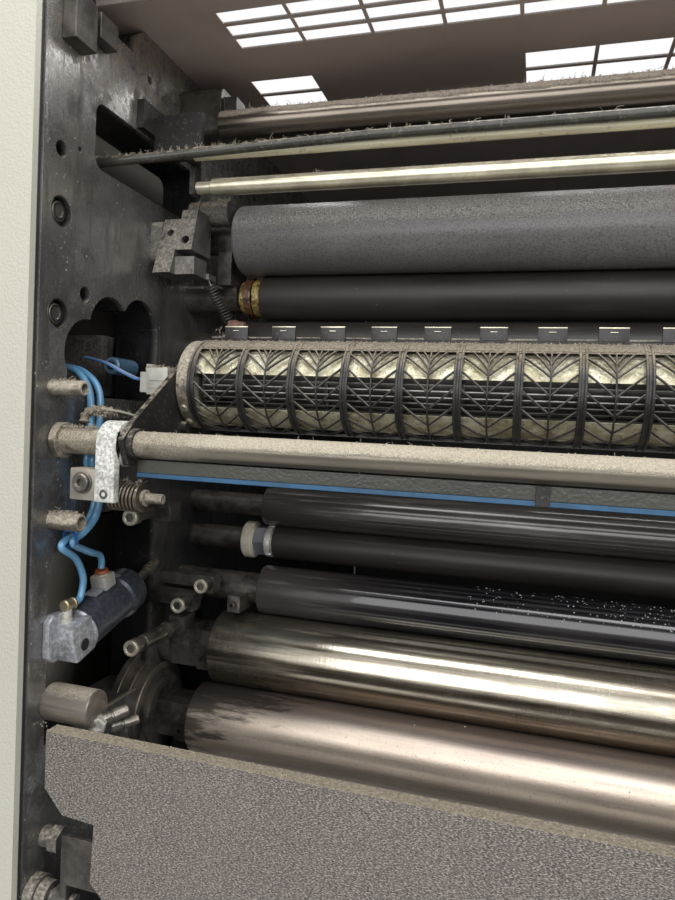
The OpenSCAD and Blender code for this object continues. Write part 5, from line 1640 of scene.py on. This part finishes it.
side_locks = Piece()
locks(side_locks, on_side, [(s * 32, z) for s in (-1, 1) for z in (260, 640, 1380)]
      + [(s * 520, z) for s in (-1, 1) for z in (1530, 1985)], PANEL)
side_locks.finish("side_locks", "cast_silver", "dull_screw", both=True)
# The black cups inside the door pull rims are painted shade for the pulls' hollows.
cups = Piece()
rims = Piece()
for s in (-1, 1):
    rims.slab(on_side, (s * 44 - 19, 930), (s * 44 + 19, 1070), PANEL - 0.4, PANEL + 0.7, 17, 0.5)
    cups.slab(on_side, (s * 44 - 14, 935), (s * 44 + 14, 1065), PANEL - 0.4, PANEL + 0.9, 13, 0.1)
rims.finish("door_pull_rims", "black_metal", both=True)
cups.finish("door_pull_cups", "black_metal", "seal_black", both=True)

rear_details = Piece()
locks(
    rear_details, on_rear, [(s * 540, z) for s in (-1, 1) for z in (185, 620, 1030, 1120, 1540, 1960)], 0,
    11, 2.5)
rear_details.finish("rear_locks", "cast_silver", "dull_screw")
handles = Piece()
for s in (-1, 1):
    for z in (980, 1180):
        bow = ((-62, -0.5), (-62, 6), (-56, 9.4), (56, 9.4), (62, 6), (62, -0.5))
        line = [on_rear(s * 330 + u, z, w) for u, w in bow]
        handles.tube(curve_through(line, 5), 4, 14)
handles.finish("rear_handles", "black_metal")
front_details = Piece()
locks(front_details, on_front, [(s * 548, z) for s in (-1, 1) for z in (190, 650, 1110)], 0, 10, 2.2)
front_details.finish("front_locks", "cast_silver", "dull_screw")
pulls = Piece()
for s in (-1, 1):
    pulls.slab(on_front, (s * 250 - 70, 1080), (s * 250 + 70, 1112), -0.4, 1.6, 15, 0.8)
    pulls.slab(on_front, (s * 250 - 62, 1086), (s * 250 + 62, 1106), -0.4, 2.0, 9.8, 0.1)
pulls.finish("front_pulls", "black_metal")
Piece().slab(on_front, (-572, 145), (572, 205), -0.4, 2.2, 4, 1.0).finish("kick_strip", "base_paint")
beads = Piece()
for x in (-470, 470):
    beads.slab(on_top, (x - 6, -180), (x + 6, 500), -0.5, 2.4, 5.9, 1.6)
beads.finish("cover_beads", "cover_dark")
cover_screws = Piece()
for x in (-600, -300, 0, 300, 600):
    for y in (-476, 60, 530):
        if y > 0 or abs(x) > 500:
            cover_screws.screw(on_top(x, y, 4.6), UP, 6.5, 4.8, 3, 2.5, 18)
            cover_screws.washer(on_top(x, y, -0.2), UP, 4, 9, 1.4, 24)
cover_screws.finish("cover_screws", "dusty_steel", "dull_screw")


# Light, floor and world
def area_light(name, place, target, size, power):
    data = bpy.data.lights.new(name, "AREA")
    data.shape = "RECTANGLE"
    data.size, data.size_y = size
    data.energy = power
    lamp = bpy.data.objects.new(name, data)
    lamp.location = place
    lamp.rotation_euler = (Vector(target) - Vector(place)).to_track_quat("-Z", "Y").to_euler()
    bpy.context.scene.collection.objects.link(lamp)


def add_world():
    world = bpy.data.worlds.new("world")
    bpy.context.scene.world = world
    world.use_nodes = True
    tree = Tree(world.node_tree)
    world.node_tree.nodes.clear()
    tree.node("ShaderNodeLightPath")
    outputs = tree.last.outputs
    camera_ray, glossy, transmission = (
        Value(tree, outputs[n]) for n in ("Is Camera Ray", "Is Glossy Ray", "Is Transmission Ray"))
    seen = camera_ray.math("MAXIMUM", transmission).math("MAXIMUM", glossy * 0.55)
    dim = tree.node("ShaderNodeBackground", {}, {"Color": (0.95, 0.97, 1.0, 1), "Strength": 0.24})
    bright = tree.node("ShaderNodeBackground", {}, {"Color": (1, 1, 1, 1), "Strength": 1.0})
    both = tree.node("ShaderNodeMixShader", {}, [seen, dim, bright])
    tree.node("ShaderNodeOutputWorld", {}, [both])


def add_floor():
    bpy.ops.mesh.primitive_plane_add(size=30, location=(0, 0, 0))
    floor = bpy.context.object
    floor.name = "floor"
    s = Shade("floor_finish")
    floor.data.materials.append(s.finish((0.80, 0.79, 0.77), 0.6))


add_world()
add_floor()
area_light("ceiling", (-0.3, -1.4, 3.05), (0, -0.3, 1.5), (2.0, 0.6), 19)
area_light("room", (-0.5, -3.6, 2.3), (-0.1, -0.4, 1.5), (2.8, 1.8), 43)
area_light("side", (1.75, -1.75, 2.35), (-0.5, -0.45, 1.75), (1.0, 1.0), 17)
area_light("roof", (-0.1, -0.05, 2.8), (-0.2, -0.35, 1.7), (1.6, 0.35), 15)
area_light("roof_back", (0.45, 0.95, 2.75), (-0.58, -0.45, 1.9), (1.2, 0.9), 13)
bpy.context.scene.view_settings.view_transform = "Standard"
